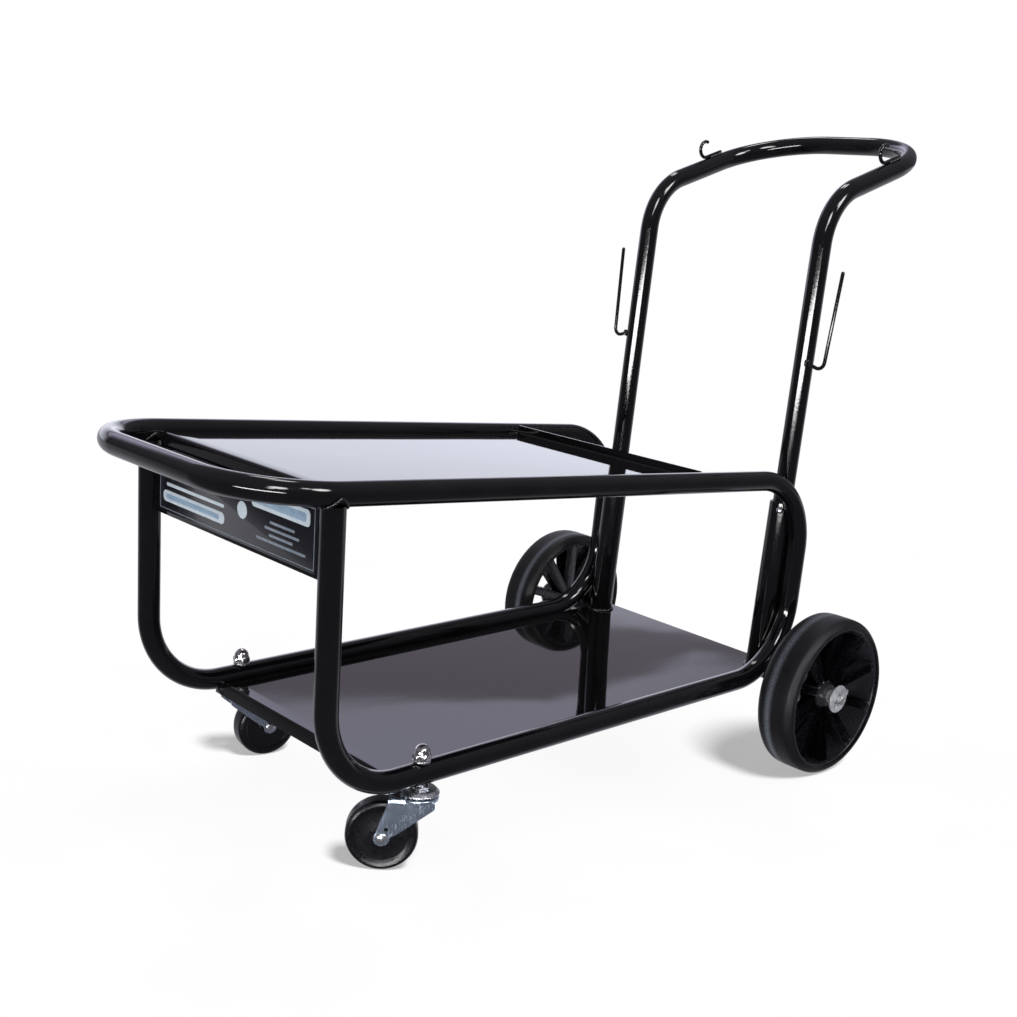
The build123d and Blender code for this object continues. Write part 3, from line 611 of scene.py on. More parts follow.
def tray_trim(x, s, h):
    """The front lip stops short of the uprights, so outside LIP_HALF it shrinks to a stub."""
    over = abs(x) - LIP_HALF
    root = TRAY_H - 3.5
    if over > 0 and s < TRAY_FRONT + 3 and h < root:
        h = root + (h - root) * max(0.12, 1 - over / LIP_TAPER)
    return s, h


def columns_of(half, step=10.0, extra=()):
    """Even x positions out to half on both sides, with the extra ones added."""
    count = round(2 * half / step)
    xs = {round(-half + 2 * half * k / count, 3) for k in range(count + 1)}
    return sorted(xs | set(extra) | {-e for e in extra})


DECK_HALF = RAIL_X - math.sqrt(TUBE_R ** 2 - 1.0) + 0.1
bm = bmesh.new()
tray_columns = columns_of(DECK_HALF, extra=(LIP_HALF, LIP_HALF + LIP_TAPER))
folded_sheet(bm, tray_line, tray_columns, top_place, tray_trim)
piece("top_tray", bm, deck_enamel, "frame", crease=50)

SHELF_FRONT, SHELF_REAR, SHELF_H, SHELF_LIP, SHELF_LIP_HALF = 92.0, 755.0, -3.0, 16.0, 176.0
shelf_line = dense(open2([
    (SHELF_FRONT + SHEET / 2, SHELF_H - SHELF_LIP),
    (SHELF_FRONT + SHEET / 2, SHELF_H - SHEET / 2),
    (SHELF_REAR, SHELF_H - SHEET / 2),
], 2.6))
SHELF_HALF = RAIL_X - math.sqrt(TUBE_R ** 2 - (SHELF_H - SHEET / 2) ** 2) + 0.1
bm = bmesh.new()
folded_sheet(bm, shelf_line, columns_of(SHELF_HALF), shelf_place)
# the lip runs on under each rail
ear = [(SHELF_HALF - 1.0, SHELF_H - SHELF_LIP), (SHELF_LIP_HALF, SHELF_H - SHELF_LIP)]
for k in range(9):
    x = SHELF_LIP_HALF - (SHELF_LIP_HALF - SHELF_HALF + 1.0) * k / 8
    drop = math.sqrt(max(0.0, (TUBE_R + 0.1) ** 2 - (x - RAIL_X) ** 2))
    ear.append((x, -max(drop, 5.0)))
for sign in (1, -1):
    place = shelf_place @ basis((0, SHELF_FRONT, 0), (sign, 0, 0), (0, sign, 0))
    low, high = (0, SHEET) if sign > 0 else (-SHEET, 0)
    slab(bm, [(a, -b) for a, b in ear], low, high, place, 0.3)
piece("bottom_shelf", bm, deck_enamel, "frame", crease=50)

# ---------------------------------------------------------------- front panel and decal
panel_place = tilted(LOW_Z, 90 + UP_LEAN)
PANEL_LOW, PANEL_HIGH = 219.0, 294.5
PANEL_HALF = RAIL_X - TUBE_R + 0.3
panel_top = PANEL_HIGH - SHEET / 2
panel_outline = loop2([
    (-PANEL_HALF, PANEL_LOW), (PANEL_HALF, PANEL_LOW), (PANEL_HALF, panel_top), (-PANEL_HALF, panel_top),
], 2.0)
bm = bmesh.new()
slab(bm, panel_outline, -SHEET / 2, SHEET / 2, panel_place, 0.5)
piece("front_panel", bm, deck_enamel, "frame")

DECAL_HALF = 148.0
DECAL_MID = (PANEL_LOW + PANEL_HIGH) / 2
DECAL_H = PANEL_HIGH - PANEL_LOW - 8.0
FILM_TOP, PALE_TOP, BLUE_TOP = SHEET / 2 + 0.3, SHEET / 2 + 0.4, SHEET / 2 + 0.42
PALE, BLUE, SOFT = 1, 2, 3


def box2(x0, y0, x1, y1, r):
    """A rounded rectangle on the decal; y is measured from the decal's middle."""
    low, high = DECAL_MID + y0, DECAL_MID + y1
    return loop2([(x0, low), (x1, low), (x1, high), (x0, high)], r, 15.0)


def printed(bm, outline, ink):
    """A raised print on the film; blue lies on top of pale."""
    if ink == BLUE:
        slab(bm, outline, PALE_TOP, BLUE_TOP, panel_place, 0.005, BLUE)
    else:
        slab(bm, outline, FILM_TOP, PALE_TOP, panel_place, 0.02, ink)


bm = bmesh.new()
film_outline = box2(-DECAL_HALF, -DECAL_H / 2, DECAL_HALF, DECAL_H / 2, 3.0)
slab(bm, film_outline, SHEET / 2, FILM_TOP, panel_place, 0.08)
# a thin border
edge_x, edge_y, line_width = DECAL_HALF - 3.0, DECAL_H / 2 - 3.0, 0.9
for bar in (
    (-edge_x, edge_y - line_width, edge_x, edge_y),
    (-edge_x, -edge_y, edge_x, -edge_y + line_width),
    (-edge_x, -edge_y, -edge_x + line_width, edge_y),
    (edge_x - line_width, -edge_y, edge_x, edge_y),
):
    printed(bm, box2(*bar, 0.3), SOFT)
# a framed bar under a thin line and a soft bar on the left, then a disc
printed(bm, box2(-138, -22, -14, -9.5, 5.5), PALE)
printed(bm, box2(-131, -18.5, -24, -13, 2.6), BLUE)
printed(bm, box2(-131, -4.2, -15, -0.6, 1.4), PALE)
printed(bm, box2(-131, 10, -22, 22, 4.0), SOFT)
printed(bm, [(19 + a, DECAL_MID + 1.5 + b) for a, b in circle(36, 9)], PALE)
# a framed bar on the right, with four thin lines below it
printed(bm, box2(36, 10, 137, 27, 5.0), PALE)
printed(bm, box2(42, 14, 131, 23, 3.2), BLUE)
for k, (start, end) in enumerate(((69, 112), (60, 120), (68, 109), (45, 131))):
    printed(bm, box2(start, -1.2 - 6.6 * k, end, 1.6 - 6.6 * k, 1.2), SOFT)
piece("panel_decal", bm, [film, print_pale, print_blue, print_soft], "frame")

# ---------------------------------------------------------------- push handle, sockets, screws
LEG_FOOT_Z = 118.0
left_corners = [Vector((LEG_X, leg_y(LEG_FOOT_Z), LEG_FOOT_Z)), knee, knee + arm_dir * ARM_LENGTH]
right_corners = [Vector((-p.x, p.y, p.z)) for p in reversed(left_corners)]
bm = bmesh.new()
frame_tube(bm, left_corners + right_corners, [0, KNEE_R, ARM_R, ARM_R, KNEE_R, 0])
piece("handle_tube", bm, enamel, "frame")

shelf_top_z = rail_low(LEG_Y) + SHELF_H
for side in ("left", "right"):
    place = basis((LEG_X * SIGN[side], leg_y(shelf_top_z), shelf_top_z), (1, 0, 0), leg_dir)
    length = (SOCKET_TOP - shelf_top_z) / leg_dir.z
    bm = bmesh.new()
    outline = [(-0.6, SOCKET_BORE_R), (length, SOCKET_BORE_R), (length, SOCKET_R), (-0.6, SOCKET_R)]
    lathe(bm, loop2(outline, [0.1, 0.8, 1.8, 0.1]), place, sides=64)
    piece("handle_socket_" + side, bm, enamel, "frame")

SCREW_Z, SCREW_SWING = 327.0, 62.0
leg_front = Vector((0, -leg_dir.z, leg_dir.y))
outward, forward = around(SCREW_SWING)
screw_dir = Vector((outward, 0, 0)) + leg_front * forward
# the shank reaches through the socket's wall; the head is domed, with a dimple
screw = [(TUBE_R + 0.05, 0.3), (TUBE_R + 0.05, 2.9), (SOCKET_R - 0.4, 2.9)]
for height, r in ((-0.4, 4.4), (1.0, 4.5), (2.2, 3.9), (3.0, 2.7), (3.2, 2.2), (1.9, 1.6), (1.8, 0.3)):
    screw.append((SOCKET_R + height, r))
bm = bmesh.new()
lathe(bm, screw, basis((LEG_X, leg_y(SCREW_Z), SCREW_Z), leg_dir, screw_dir), closed=False, sides=36)
mirrored(bm)
piece("handle_clamp_screws", bm, zinc, "frame")

# ---------------------------------------------------------------- wire hooks
J_Z, J_HEIGHT = 518.0, 120.0
J_SPREAD = {"left": (36.0, 43.5), "right": (31.5, 36.0)}
C_REACH = {"left": 128.0, "right": 116.0}
C_R, C_FOOT, C_TURN = 11.0, 34.0, 225.0
j_place = basis((LEG_X, leg_y(J_Z) - 8.6, J_Z), (1, 0, 0), Vector((1, 0, 0)).cross(leg_dir))
c_place = basis(knee, arm_dir, (1, 0, 0))
c_base = TUBE_R + WIRE_R

weld_bm = bmesh.new()
for side in ("left", "right"):
    flip = Matrix.Diagonal((SIGN[side], 1, 1, 1))
    spread_low, spread_high = J_SPREAD[side]
    root, toe, tip = (j_place @ Vector(p) for p in (
        (8.0, 2.0, 0), (spread_low, -6.0, 0), (spread_high, J_HEIGHT, 0)))
    bm = bmesh.new()
    wire(bm, fillet([flip @ root, flip @ toe, flip @ tip], [0, 9.0, 0], step=8.0))
    piece("cable_hook_" + side, bm, wire_enamel, "frame")

    reach = C_REACH[side]
    path = [Vector((x, c_base, 0)) for x in (reach + C_FOOT, reach + C_FOOT / 2, reach)]
    centre = Vector((reach, c_base + C_R, 0))
    for k in range(1, 27):
        path.append(centre + Vector((*around(-90 - C_TURN * k / 26, C_R), 0)))
    bm = bmesh.new()
    wire(bm, [(flip @ (c_place @ p), NO_BEND) for p in path])
    piece("lead_hook_" + side, bm, wire_enamel, "frame")

    # a bead round the upright hook's root and one along each side of the curled hook's foot
    weld_centre = j_place @ Vector((11.2, 1.1, 0))
    along = (toe - root).normalized()
    u = along.orthogonal().normalized()
    v = along.cross(u)
    ring = []
    for k, (a, b) in enumerate(circle(24, WIRE_R + 0.9)):
        lift = 0.8 * math.sin(3 * 2 * math.pi * k / 24)
        ring.append(flip @ (weld_centre + u * a + v * b + along * lift))
    bead(weld_bm, ring, 1.7, 2.2, closed=True)
    for offset in (-2.7, 2.7):
        ends = [c_place @ Vector((reach + x, TUBE_R + 0.6, offset)) for x in (6.0, 31.0)]
        bead(weld_bm, [flip @ p for p in ends], 1.9, 2.4)
piece("hook_welds", weld_bm, weld_enamel, "frame", crease=60)

# ---------------------------------------------------------------- frame welds
bm = bmesh.new()
joint_y = hoop_corners[0][0]
for sign in (1, -1):
    saddle = []
    for c, s in circle(72):
        y = joint_y + (TUBE_R + 0.7) * s + 0.4
        z = rail_top(y) - (TUBE_R + 0.3) * math.sqrt(s ** 2 + 0.02)
        saddle.append(Vector((sign * (RAIL_X + (TUBE_R + 0.7) * c), y, z)))
    bead(bm, saddle, 1.8, 3.0, closed=True)
piece("upright_welds", bm, weld_enamel, "frame", crease=60)

bm = bmesh.new()
for sign in (1, -1):
    place = basis((LEG_X * sign, leg_y(shelf_top_z), shelf_top_z), (1, 0, 0), (0, *around(90 + LOW_RISE)))
    ring = [place @ Vector((a, b, 0.8)) for a, b in circle(60, SOCKET_R + 1.0)]
    bead(bm, ring, 2.0, 3.0, closed=True)
piece("socket_welds", bm, weld_enamel, "frame", crease=60)


# ---------------------------------------------------------------- rear axle
def axle_place(x, sign=1):
    """A place on the axle whose z axis runs along it, outward for the side's sign."""
    return basis((x, AXLE.y, AXLE.z), (0, 1, 0), (sign, 0, 0))


def washer(name, inboard, outboard, outer_r, ease):
    """A ring on the axle between two x positions, on both sides of the cart."""
    bm = bmesh.new()
    for sign in (1, -1):
        outline = [(inboard, BORE_R), (outboard, BORE_R), (outboard, outer_r), (inboard, outer_r)]
        lathe(bm, loop2(outline, ease), axle_place(0, sign), sides=64)
    piece(name, bm, soft_zinc, "frame")


SLEEVE_HALF, ROD_HALF, ROD_R, BORE_R = 203.5, 272.0, 6.0, 6.15
BOSS_IN, BOSS_OUT = -28.5, 14.5
bm = bmesh.new()
sleeve = [(-SLEEVE_HALF, 6.2), (SLEEVE_HALF, 6.2), (SLEEVE_HALF, 8.55), (-SLEEVE_HALF, 8.55)]
lathe(bm, loop2(sleeve, 0.4), axle_place(0), sides=48)
piece("axle_sleeve", bm, enamel, "frame")

bm = bmesh.new()
rod_end = [(ROD_HALF - 1.1, ROD_R), (ROD_HALF - 0.4, ROD_R - 0.8), (ROD_HALF, ROD_R - 1.4)]
lathe(bm, [(-x, r) for x, r in rod_end[::-1]] + rod_end, axle_place(0), closed=False, sides=48)
piece("axle_rod", bm, steel, "frame")

washer("axle_inner_washers", 204.0, WHEEL_X + BOSS_IN - 0.3, 13.0, 0.5)
washer("axle_spacers", WHEEL_X + BOSS_OUT + 0.3, 261.9, 8.5, 0.4)
washer("axle_outer_washers", 262.0, 264.5, 18.0, 0.8)

bm = bmesh.new()
for sign in (1, -1):
    place = basis((RAIL_X * sign, 0, 0), (0, 1, 0), (1, 0, 0))
    arcs = [around(degrees, 14.0) for degrees in range(180, 361, 12)]
    outline = [(AXLE.y + a, AXLE.z + b) for a, b in arcs]
    outline += [(RISER_Y - 16.4, 154.0), (RISER_Y - 32.0, 137.0)]
    slab(bm, outline, -2.5, 2.5, place, 0.5)
piece("axle_gussets", bm, enamel, "frame")

PIN_X, PIN_TILT, PIN_HALF, PIN_WIRE_R, EYE_R = 267.5, 40.0, 9.0, 1.0, 3.8
pin_place = basis((PIN_X, AXLE.y, AXLE.z), (0, *around(PIN_TILT)), (1, 0, 0))
# one spread tail, the leg, the eye, the other leg and its tail
pin = [(-PIN_HALF - 4.2, 4.4), (-PIN_HALF + 0.8, 0.8), (PIN_HALF - 0.5, 0.8)]
for degrees in range(165, -166, -15):
    a, b = around(degrees, EYE_R)
    pin.append((PIN_HALF + EYE_R + a, b))
pin += [(PIN_HALF - 0.5, -0.8), (-PIN_HALF + 0.8, -0.8), (-PIN_HALF - 4.6, -4.8)]
bm = bmesh.new()
wire(bm, [(pin_place @ Vector((a, b, 0)), NO_BEND) for a, b in pin], PIN_WIRE_R, 14)
mirrored(bm)
piece("cotter_pins", bm, steel, "frame", crease=60)

# ---------------------------------------------------------------- rear wheels
HALF = WHEEL_W / 2
SHOULDER = 8.0
RIM_IN = RIM_R - RIM_WALL
RIB_PAIRS, RIB_OFFSET, RIB_HALF = 10, 4.5, 1.6
tyre_side = [
    (HALF - 0.3, RIM_R), (HALF, WHEEL_R - SHOULDER), (HALF - SHOULDER, WHEEL_R - 0.7), (HALF - 16.0, WHEEL_R),
]
tyre_radii = [0.5, 7.5, 7.5, 6.0]
tyre_outline = loop2(tyre_side + [(-x, r) for x, r in tyre_side[::-1]], tyre_radii + tyre_radii[::-1], 10.0)
rim_outline = loop2([
    (-RIM_HALF, RIM_IN), (RIM_HALF, RIM_IN), (RIM_HALF + 1.2, RIM_R - 0.2), (-RIM_HALF - 1.2, RIM_R - 0.2),
], [1.4, 1.4, 0.8, 0.8])
boss_outline = loop2([
    (BOSS_IN, 8.0), (BOSS_OUT, 8.0), (BOSS_OUT, 14.0), (6.0, 17.0), (-20.0, 17.0), (BOSS_IN, 14.5),
], [0.4, 0.5, 1.2, 2.0, 2.0, 1.2])
# one rib from the boss to the rim; its front edge sweeps up the rim's barrel to the lip
root, tip, back = 16.2, RIM_IN + 0.6, -15.6
rib_outline = loop2([
    (root, back), (80.0, back), (tip, -20.5), (tip, 20.8), (RIM_IN - 1.8, 20.8),
    (86.5, -1.0), (79.0, -6.0), (30.0, -4.0), (root, 8.0),
], [0.2, 6, 0.2, 0.2, 0.3, 4, 5, 10, 0.2], 10.0)
web_outline = loop2([(root, back), (tip, back), (tip, back + 3.8), (root, back + 3.8)], 0.3)

for side in ("left", "right"):
    sign = SIGN[side]
    place = axle_place(WHEEL_X * sign, sign)
    bm = bmesh.new()
    lathe(bm, tyre_outline, place, sides=160)
    piece("wheel_tyre_" + side, bm, rubber, "wheel_" + side)

    bm = bmesh.new()
    lathe(bm, rim_outline, place, sides=128)
    lathe(bm, boss_outline, place, sides=64)
    outward = Vector((sign, 0, 0))
    for k in range(RIB_PAIRS):
        radial = Vector((0, *around(360 * (k + 0.5) / RIB_PAIRS)))
        sideways = Vector((0, -radial.z, radial.y))
        rib_place = Matrix((radial, outward, radial.cross(outward))).transposed().to_4x4()
        for pair in (-1, 1):
            rib_place.translation = place.translation + sideways * pair * RIB_OFFSET
            slab(bm, rib_outline, -RIB_HALF, RIB_HALF, rib_place, 0.6)
        # the web that joins the pair
        rib_place.translation = place.translation
        slab(bm, web_outline, -RIB_OFFSET, RIB_OFFSET, rib_place, 0.3)
    piece("wheel_hub_" + side, bm, hub_plastic, "wheel_" + side)

# ---------------------------------------------------------------- casters
FORK_TOP, PLATE, GAP = 83.0, 2.5, 28.0
FORK_REAR, FORK_FRONT, FORK_EYE_R, EYE_BLEND = -17.0, 31.0, 8.6, 4.0
CUP_LOW, CUP_HIGH, COLLAR_TOP = 88.1, 90.1, 93.0


def fork_mesh(place):
    """The pressed fork: a U of sheet whose legs narrow down to the rivet."""
    out = GAP / 2 + PLATE / 2
    top_z = FORK_TOP - PLATE / 2
    skirt_z = FORK_TOP - 5.5
    section = open2([(-out, 0.0), (-out, top_z), (out, top_z), (out, 0.0)], 4.0, 15.0)

    def extent(z):
        """Rear and front x of the sheet at a height."""
        f = max(0.0, (skirt_z - z) / (skirt_z - CASTER_R))
        return FORK_REAR + 43.5 * max(0.0, (f - 0.12) / 0.88), FORK_FRONT + 12.6 * min(f, 1.0)

    low_z = CASTER_R - FORK_EYE_R
    leg_top_z = FORK_TOP - 6.0
    heights = [low_z + (leg_top_z - low_z) * k / 24 for k in range(25)]
    line = [(-out, z) for z in heights]
    line += [p for p in section if p[1] > leg_top_z]
    line += [(out, z) for z in reversed(heights)]
    line = [p for i, p in enumerate(line) if i == 0 or math.dist(p, line[i - 1]) > 0.05]
    rings = []
    across = 12
    for i, (y, z) in enumerate(line):
        before, after = line[max(i - 1, 0)], line[min(i + 1, len(line) - 1)]
        d = Vector((after[0] - before[0], after[1] - before[1])).normalized()
        n = Vector((-d.y, d.x)) * (PLATE / 2)
        x0, x1 = extent(z)
        # the foot of each leg is round about the rivet
        reach = z - CASTER_R
        if reach < EYE_BLEND:
            arc = math.sqrt(max(0.3, FORK_EYE_R ** 2 - min(reach, 0.0) ** 2))
            f = min(1.0, (EYE_BLEND - reach) / EYE_BLEND)
            x0 = x0 * (1 - f) + (TRAIL - arc) * f
            x1 = x1 * (1 - f) + (TRAIL + arc) * f
        ring = []
        for sign in (1, -1):
            ks = range(across + 1) if sign > 0 else range(across, -1, -1)
            for k in ks:
                ease = 0.35 if k in (0, across) else 0.0
                x = x0 + (x1 - x0) * k / across
                ring.append(place @ Vector((x, y + n.x * sign * (1 - ease), z + n.y * sign * (1 - ease))))
        rings.append(ring)
    mesh = bmesh.new()
    skin(mesh, rings)
    return mesh


def drill(ob, place, radius, low, high, sides):
    """Drills a round hole along the z axis of place."""
    bm = bmesh.new()
    lathe(bm, [(low, radius), (high, radius)], place, closed=False, sides=sides)
    boolean(ob, bm, "DIFFERENCE")


stem_profile = [(78.3, 9.6), (78.3, 10.0), (80.0, 10.0), (80.4, 9.6), (80.4, 6.0), (131.0, 6.0), (132.0, 5.0)]
collar_levels = [(CUP_HIGH, 8.6), (CUP_HIGH + 0.6, math.inf), (COLLAR_TOP - 0.6, math.inf), (COLLAR_TOP, 9.0)]
cup_outline = loop2([
    (CUP_LOW, 6.1), (CUP_HIGH, 6.1), (CUP_HIGH, 17.4), (CUP_LOW - 1.6, 21.4), (CUP_LOW - 2.8, 21.5),
    (CUP_LOW - 2.8, 19.8), (CUP_LOW - 1.0, 19.2), (CUP_LOW, 17.0),
], [0.1, 0.1, 2.2, 1.2, 0.5, 0.3, 0.8, 1.0])
race_outline = loop2([
    (FORK_TOP - PLATE, 5.0), (FORK_TOP, 5.0), (FORK_TOP, 20.9), (FORK_TOP - 4.2, 20.9),
    (FORK_TOP - 4.2, 18.6), (FORK_TOP - PLATE, 18.0),
], [0.05, 0.05, 1.8, 0.4, 0.4, 0.6])
leg_face = GAP / 2 + PLATE
rivet_head = [(2.4, 0.3), (2.2, 2.2), (1.6, 4.2), (0.8, 5.6), (0.02, 6.2), (0.02, 4.0)]
rivet_profile = [(-leg_face - a, r) for a, r in rivet_head] + [(leg_face + a, r) for a, r in rivet_head[::-1]]
# each face of the wheel has a boss, a dished web and a rim ring
wheel_face = [
    (12.0, 6.05), (12.0, 11.5), (10.6, 13.0), (10.2, 20.0), (10.0, 27.5), (10.9, 29.4), (11.3, 30.8),
    (12.0, 33.6), (10.6, 36.6), (7.5, CASTER_R), (0, CASTER_R),
]
wheel_radii = [0.3, 0.8, 0.8, 2.0, 2.0, 0.8, 0.6, 0.9, 2.0, 2.5, 0]
wheel_points = [(-a, r) for a, r in wheel_face] + wheel_face[-2::-1]
wheel_outline = loop2(wheel_points, wheel_radii + wheel_radii[-2::-1])

for side in ("left", "right"):
    stem_at = Vector((RAIL_X * SIGN[side], CASTER_Y, 0))
    place = Matrix.Translation(stem_at) @ Matrix.Rotation(math.radians(CASTER_ANGLE[side]), 4, "Z")
    rivet_place = place @ basis((TRAIL, 0, CASTER_R), (1, 0, 0), (0, 1, 0))
    tooling_place = place @ basis((TRAIL - 4.5, 0, CASTER_R + 10.2), (1, 0, 0), (0, 1, 0))
    # stem with its hex collar
    bm = bmesh.new()
    skin(bm, hex_rings(collar_levels, 19.0, place))
    lathe(bm, stem_profile, place, closed=False, sides=48)
    piece("caster_stem_" + side, bm, zinc, "frame")
    # fixed upper race
    bm = bmesh.new()
    lathe(bm, cup_outline, place, sides=72)
    piece("caster_cup_" + side, bm, zinc, "frame")
    # fork with its lower race, stem hole, tooling hole and rivet hole
    swivel = "caster_swivel_" + side
    fork = piece("caster_fork_" + side, fork_mesh(place), fork_zinc, swivel)
    race = bmesh.new()
    lathe(race, race_outline, place, sides=72)
    boolean(fork, race, "UNION")
    drill(fork, place, 6.05, 70.0, 90.0, 40)
    drill(fork, tooling_place, 2.3, -30.0, 30.0, 24)
    drill(fork, rivet_place, 4.02, -30.0, 30.0, 32)
    # rivet with domed heads
    bm = bmesh.new()
    lathe(bm, rivet_profile, rivet_place, closed=False, sides=40)
    piece("caster_rivet_" + side, bm, zinc, swivel)
    # wheel, with a small moulding pip on each face
    name = "caster_wheel_" + side
    bm = bmesh.new()
    lathe(bm, wheel_outline, rivet_place, sides=120)
    for direction in (1, -1):
        pip_place = rivet_place @ basis((0.0, -24.5, 8.6 * direction), (1, 0, 0), (0, 0, direction))
        lathe(bm, [(-2.0, 1.6), (1.0, 1.6), (1.6, 1.1), (1.8, 0.3)], pip_place, closed=False, sides=16)
    piece(name, bm, caster_plastic, name)

NUT_LOW = 120.6
washer_outline = loop2([(NUT_LOW - 2.0, 6.2), (NUT_LOW, 6.2), (NUT_LOW, 9.6), (NUT_LOW - 2.0, 9.6)], 0.4)
bm = bmesh.new()
for sign in (1, -1):
    lathe(bm, washer_outline, Matrix.Translation((RAIL_X * sign, CASTER_Y, 0)), sides=56)
piece("caster_washers", bm, zinc, "frame")

nut_levels = [(0, 8.6), (0.9, 9.6), (1.6, math.inf), (5.4, math.inf), (6.6, 9.3), (7.2, 8.8)]
bm = bmesh.new()
for sign in (1, -1):
    place = Matrix.Translation((RAIL_X * sign, CASTER_Y, NUT_LOW)) @ Matrix.Rotation(math.radians(12), 4, "Z")
    rings = hex_rings(nut_levels, 18.0, place)
    for degrees in range(0, 86, 8):
        across, up = around(degrees)
        rings.append([place @ Vector((a, b, 8.2 + 8.6 * up)) for a, b in circle(72, 8.4 * across)])
    skin(bm, rings)
piece("caster_cap_nuts", bm, chrome, "frame")

# ---------------------------------------------------------------- CAD nodes that stay
kept_nodes = {"caster_balls": ball_steel, "caster_bush": bush_plastic, "wheel_bush": bush_plastic}
for name, material in kept_nodes.items():
    for side in ("left", "right"):
        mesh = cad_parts[name + "_" + side].data
        if not mesh.materials:
            mesh.materials.append(material)
        for i in range(len(mesh.materials)):
            mesh.materials[i] = material

# ---------------------------------------------------------------- camera, metres and degrees
EYE = Vector((1.1833, -1.2116, 0.6856))
YAW, PITCH, ROLL = 136.7031, -11.7500, 4.9650
SENSOR, LENS = 36.0, 49.3304
SHIFT_X, SHIFT_Y = 0.01549, -0.01567
flat, rise = around(PITCH)
look = Vector((*around(YAW, flat), rise))
right = look.cross(Vector((0, 0, 1))).normalized()
above = right.cross(look)
level, tip = around(ROLL)
cam_x = right * level + above * tip
cam_y = above * level - right * tip
camera_data = bpy.data.cameras.new("camera")
camera_data.sensor_width = SENSOR
camera_data.lens = LENS
camera_data.shift_x = SHIFT_X
camera_data.shift_y = SHIFT_Y
camera_data.clip_end = 100
camera = bpy.data.objects.new("camera", camera_data)
camera.matrix_world = Matrix.Translation(EYE) @ Matrix((cam_x, cam_y, -look)).transposed().to_4x4()
scene.collection.objects.link(camera)
scene.camera = camera


# ---------------------------------------------------------------- floor
def floor_paper():
    """Pale paper that is mostly its own light, so that it stays even; it fades out toward its edge."""
    material = bpy.data.materials.new("floor")
    material.use_nodes = True
    tree = material.node_tree
    tree.nodes.clear()
    where = node(tree, "ShaderNodeTexCoord").outputs["Object"]
    cloud = remap(tree, speckle(tree, where, 3.0, 4.0), 0.3, 0.7)
    tone = blend(tree, cloud, (0.115, 0.115, 0.115), (0.125, 0.125, 0.125))
    paper = node(tree, "ShaderNodeBsdfDiffuse", {"Color": tone})
    glow = node(tree, "ShaderNodeEmission", {"Color": WHITE, "Strength": 0.42})
    lit = node(tree, "ShaderNodeAddShader", {0: paper.outputs[0], 1: glow.outputs[0]})
    clear = node(tree, "ShaderNodeBsdfTransparent")
    distance = node(tree, "ShaderNodeVectorMath", {0: where}, operation="LENGTH").outputs["Value"]
    fade = remap(tree, distance, 1.6, 3.6)
    mixed = node(tree, "ShaderNodeMixShader", {0: fade, 1: lit.outputs[0], 2: clear.outputs[0]})
    node(tree, "ShaderNodeOutputMaterial", {"Surface": mixed.outputs[0]})
    return material


WHITE = (1, 1, 1, 1)
bm = bmesh.new()
bmesh.ops.create_grid(bm, x_segments=4, y_segments=4, size=4.0)
mesh = bpy.data.meshes.new("floor")
bm.to_mesh(mesh)
bm.free()
mesh.materials.append(floor_paper())
floor = bpy.data.objects.new("floor", mesh)
scene.collection.objects.link(floor)
floor.visible_glossy = False

# ---------------------------------------------------------------- light
world = bpy.data.worlds.new("studio")
scene.world = world
world.use_nodes = True
sky = world.node_tree
sky.nodes.clear()
ray = node(sky, "ShaderNodeLightPath")
direction = node(sky, "ShaderNodeTexCoord").outputs["Generated"]
up_part = component(sky, direction, "Z")


def both(a, b):
    return calc(sky, "MULTIPLY", a, b)


def facing(azimuth, height=0.0):
    """Cosine of the angle to a direction, given by its azimuth from +X to +Y in degrees and its z part."""
    toward = (*around(azimuth, math.sqrt(1 - height * height)), height)
    product = node(sky, "ShaderNodeVectorMath", {0: direction, 1: toward}, operation="DOT_PRODUCT")
    return product.outputs["Value"]


def within(value, low, high, soft):
    """1 between low and high, fading to 0 over soft on each side."""
    return both(remap(sky, value, low - soft, low), remap(sky, value, high, high + soft, 1.0, 0.0))


def cone(azimuth, height, inner, outer):
    """1 within inner degrees of a direction, 0 beyond outer degrees."""
    return remap(sky, facing(azimuth, height), around(outer)[0], around(inner)[0])


def background(colour, strength):
    return node(sky, "ShaderNodeBackground", {"Color": colour, "Strength": strength}).outputs[0]


def choose(factor, off, on):
    """One shader where factor is 0, another where it is 1."""
    return node(sky, "ShaderNodeMixShader", {0: factor, 1: off, 2: on}).outputs[0]


# what shiny surfaces see: a dim room, a pale wall behind the cart with a dark rail across it, and lamps
DIM_LOW, DIM_HIGH = (0.10, 0.097, 0.112), (0.20, 0.195, 0.22)
WALL_LOW, WALL_MID, WALL_HIGH = (1.46, 1.50, 1.70), (0.95, 0.94, 1.16), (1.36, 1.32, 1.72)
RAIL_TONE, GROUND_TONE = (0.46, 0.41, 0.49), (0.55, 0.55, 0.60)
room = blend(sky, remap(sky, up_part, 0.0, 0.7), DIM_LOW, DIM_HIGH)
across_wall = facing(41)
rail_slope = remap(sky, across_wall, -0.049, 0.049, 0.365, 0.327)
rail_edge = calc(sky, "ADD", rail_slope, remap(sky, across_wall, -0.25, -0.049, 0.006, 0.0))
under_edge = remap(sky, calc(sky, "SUBTRACT", up_part, rail_edge), -0.003, 0.003, 1.0, 0.0)
rail_dark = both(under_edge, remap(sky, up_part, 0.310, 0.316))
wall = blend(sky, remap(sky, up_part, 0.16, 0.33), WALL_LOW, WALL_MID)
wall = blend(sky, remap(sky, up_part, 0.36, 0.46), wall, WALL_HIGH)
wall = blend(sky, rail_dark, wall, RAIL_TONE)
wall_part = both(remap(sky, facing(157), 0.72, 0.84), within(up_part, 0.01, 0.50, 0.05))
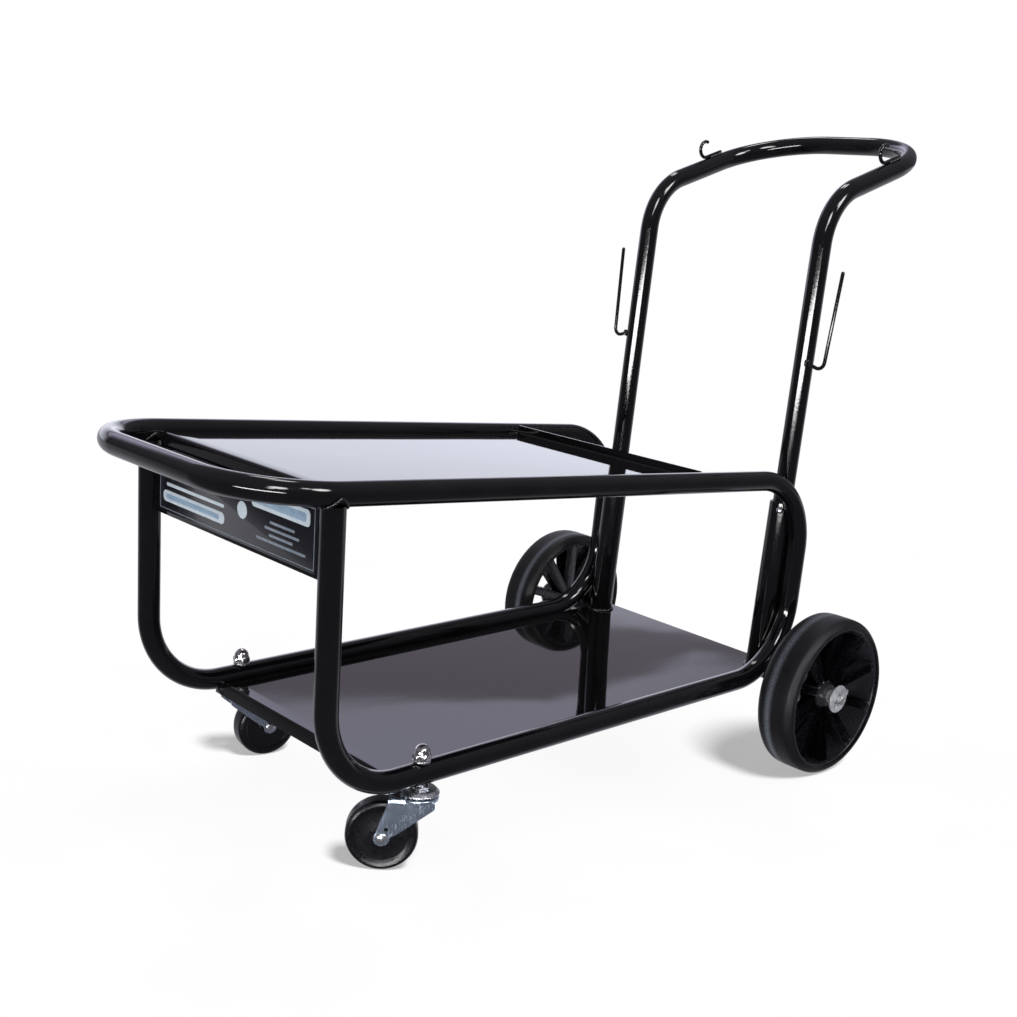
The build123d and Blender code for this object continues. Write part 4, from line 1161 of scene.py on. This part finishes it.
ground_part = both(remap(sky, facing(137), 0.15, 0.5), remap(sky, up_part, -0.02, 0.0, 1.0, 0.0))
seen = blend(sky, ground_part, blend(sky, wall_part, room, wall), GROUND_TONE)
window_side = facing(-58)
lamps = (
    (both(remap(sky, window_side, 0.885, 0.93), within(up_part, -0.03, 0.03, 0.015)), 30.0),
    (both(remap(sky, window_side, 0.955, 0.98), within(up_part, -0.06, -0.03, 0.015)), 5.0),
    (cone(-38, 0.60, 6, 10), 16.0),
    (cone(12, 0.62, 6, 10), 16.0),
    (cone(-3, 0.72, 2, 5), 12.0),
    (cone(-46, 0.45, 2, 5), 12.0),
    (cone(149, 0.79, 2, 5), 10.0),
    (cone(138, 0.93, 3, 6), 10.0),
)
mirrored_light = background(seen, 1.0)
for amount, strength in lamps:
    lamp_light = background(WHITE, both(amount, strength))
    mirrored_light = node(sky, "ShaderNodeAddShader", {0: mirrored_light, 1: lamp_light}).outputs[0]
# everything else gets plain even light, and the camera sees white behind the floor
soft_or_mirrored = choose(ray.outputs["Is Glossy Ray"], background(WHITE, 0.62), mirrored_light)
everything = choose(ray.outputs["Is Camera Ray"], soft_or_mirrored, background(WHITE, 1.0))
node(sky, "ShaderNodeOutputWorld", {"Surface": everything})

# a sun that only the floor receives and only the wheels block, for a soft shadow under each wheel
SUN_STRENGTH, SUN_SPREAD, SUN_AIM = 16.0, 16.0, (-0.62, 0.06, -1.0)
sun_data = bpy.data.lights.new("floor_sun", "SUN")
sun_data.energy = SUN_STRENGTH
sun_data.angle = math.radians(SUN_SPREAD)
sun = bpy.data.objects.new("floor_sun", sun_data)
scene.collection.objects.link(sun)
sun.rotation_euler = Vector(SUN_AIM).to_track_quat("-Z", "Y").to_euler()
lit_things = bpy.data.collections.new("sun_lights")
lit_things.objects.link(floor)
shading_things = bpy.data.collections.new("sun_blocked_by")
for name in ("wheel_tyre", "wheel_hub", "caster_wheel", "caster_fork"):
    for side in ("left", "right"):
        shading_things.objects.link(made[name + "_" + side])
sun.light_linking.receiver_collection = lit_things
sun.light_linking.blocker_collection = shading_things
scene.view_settings.view_transform = "Standard"
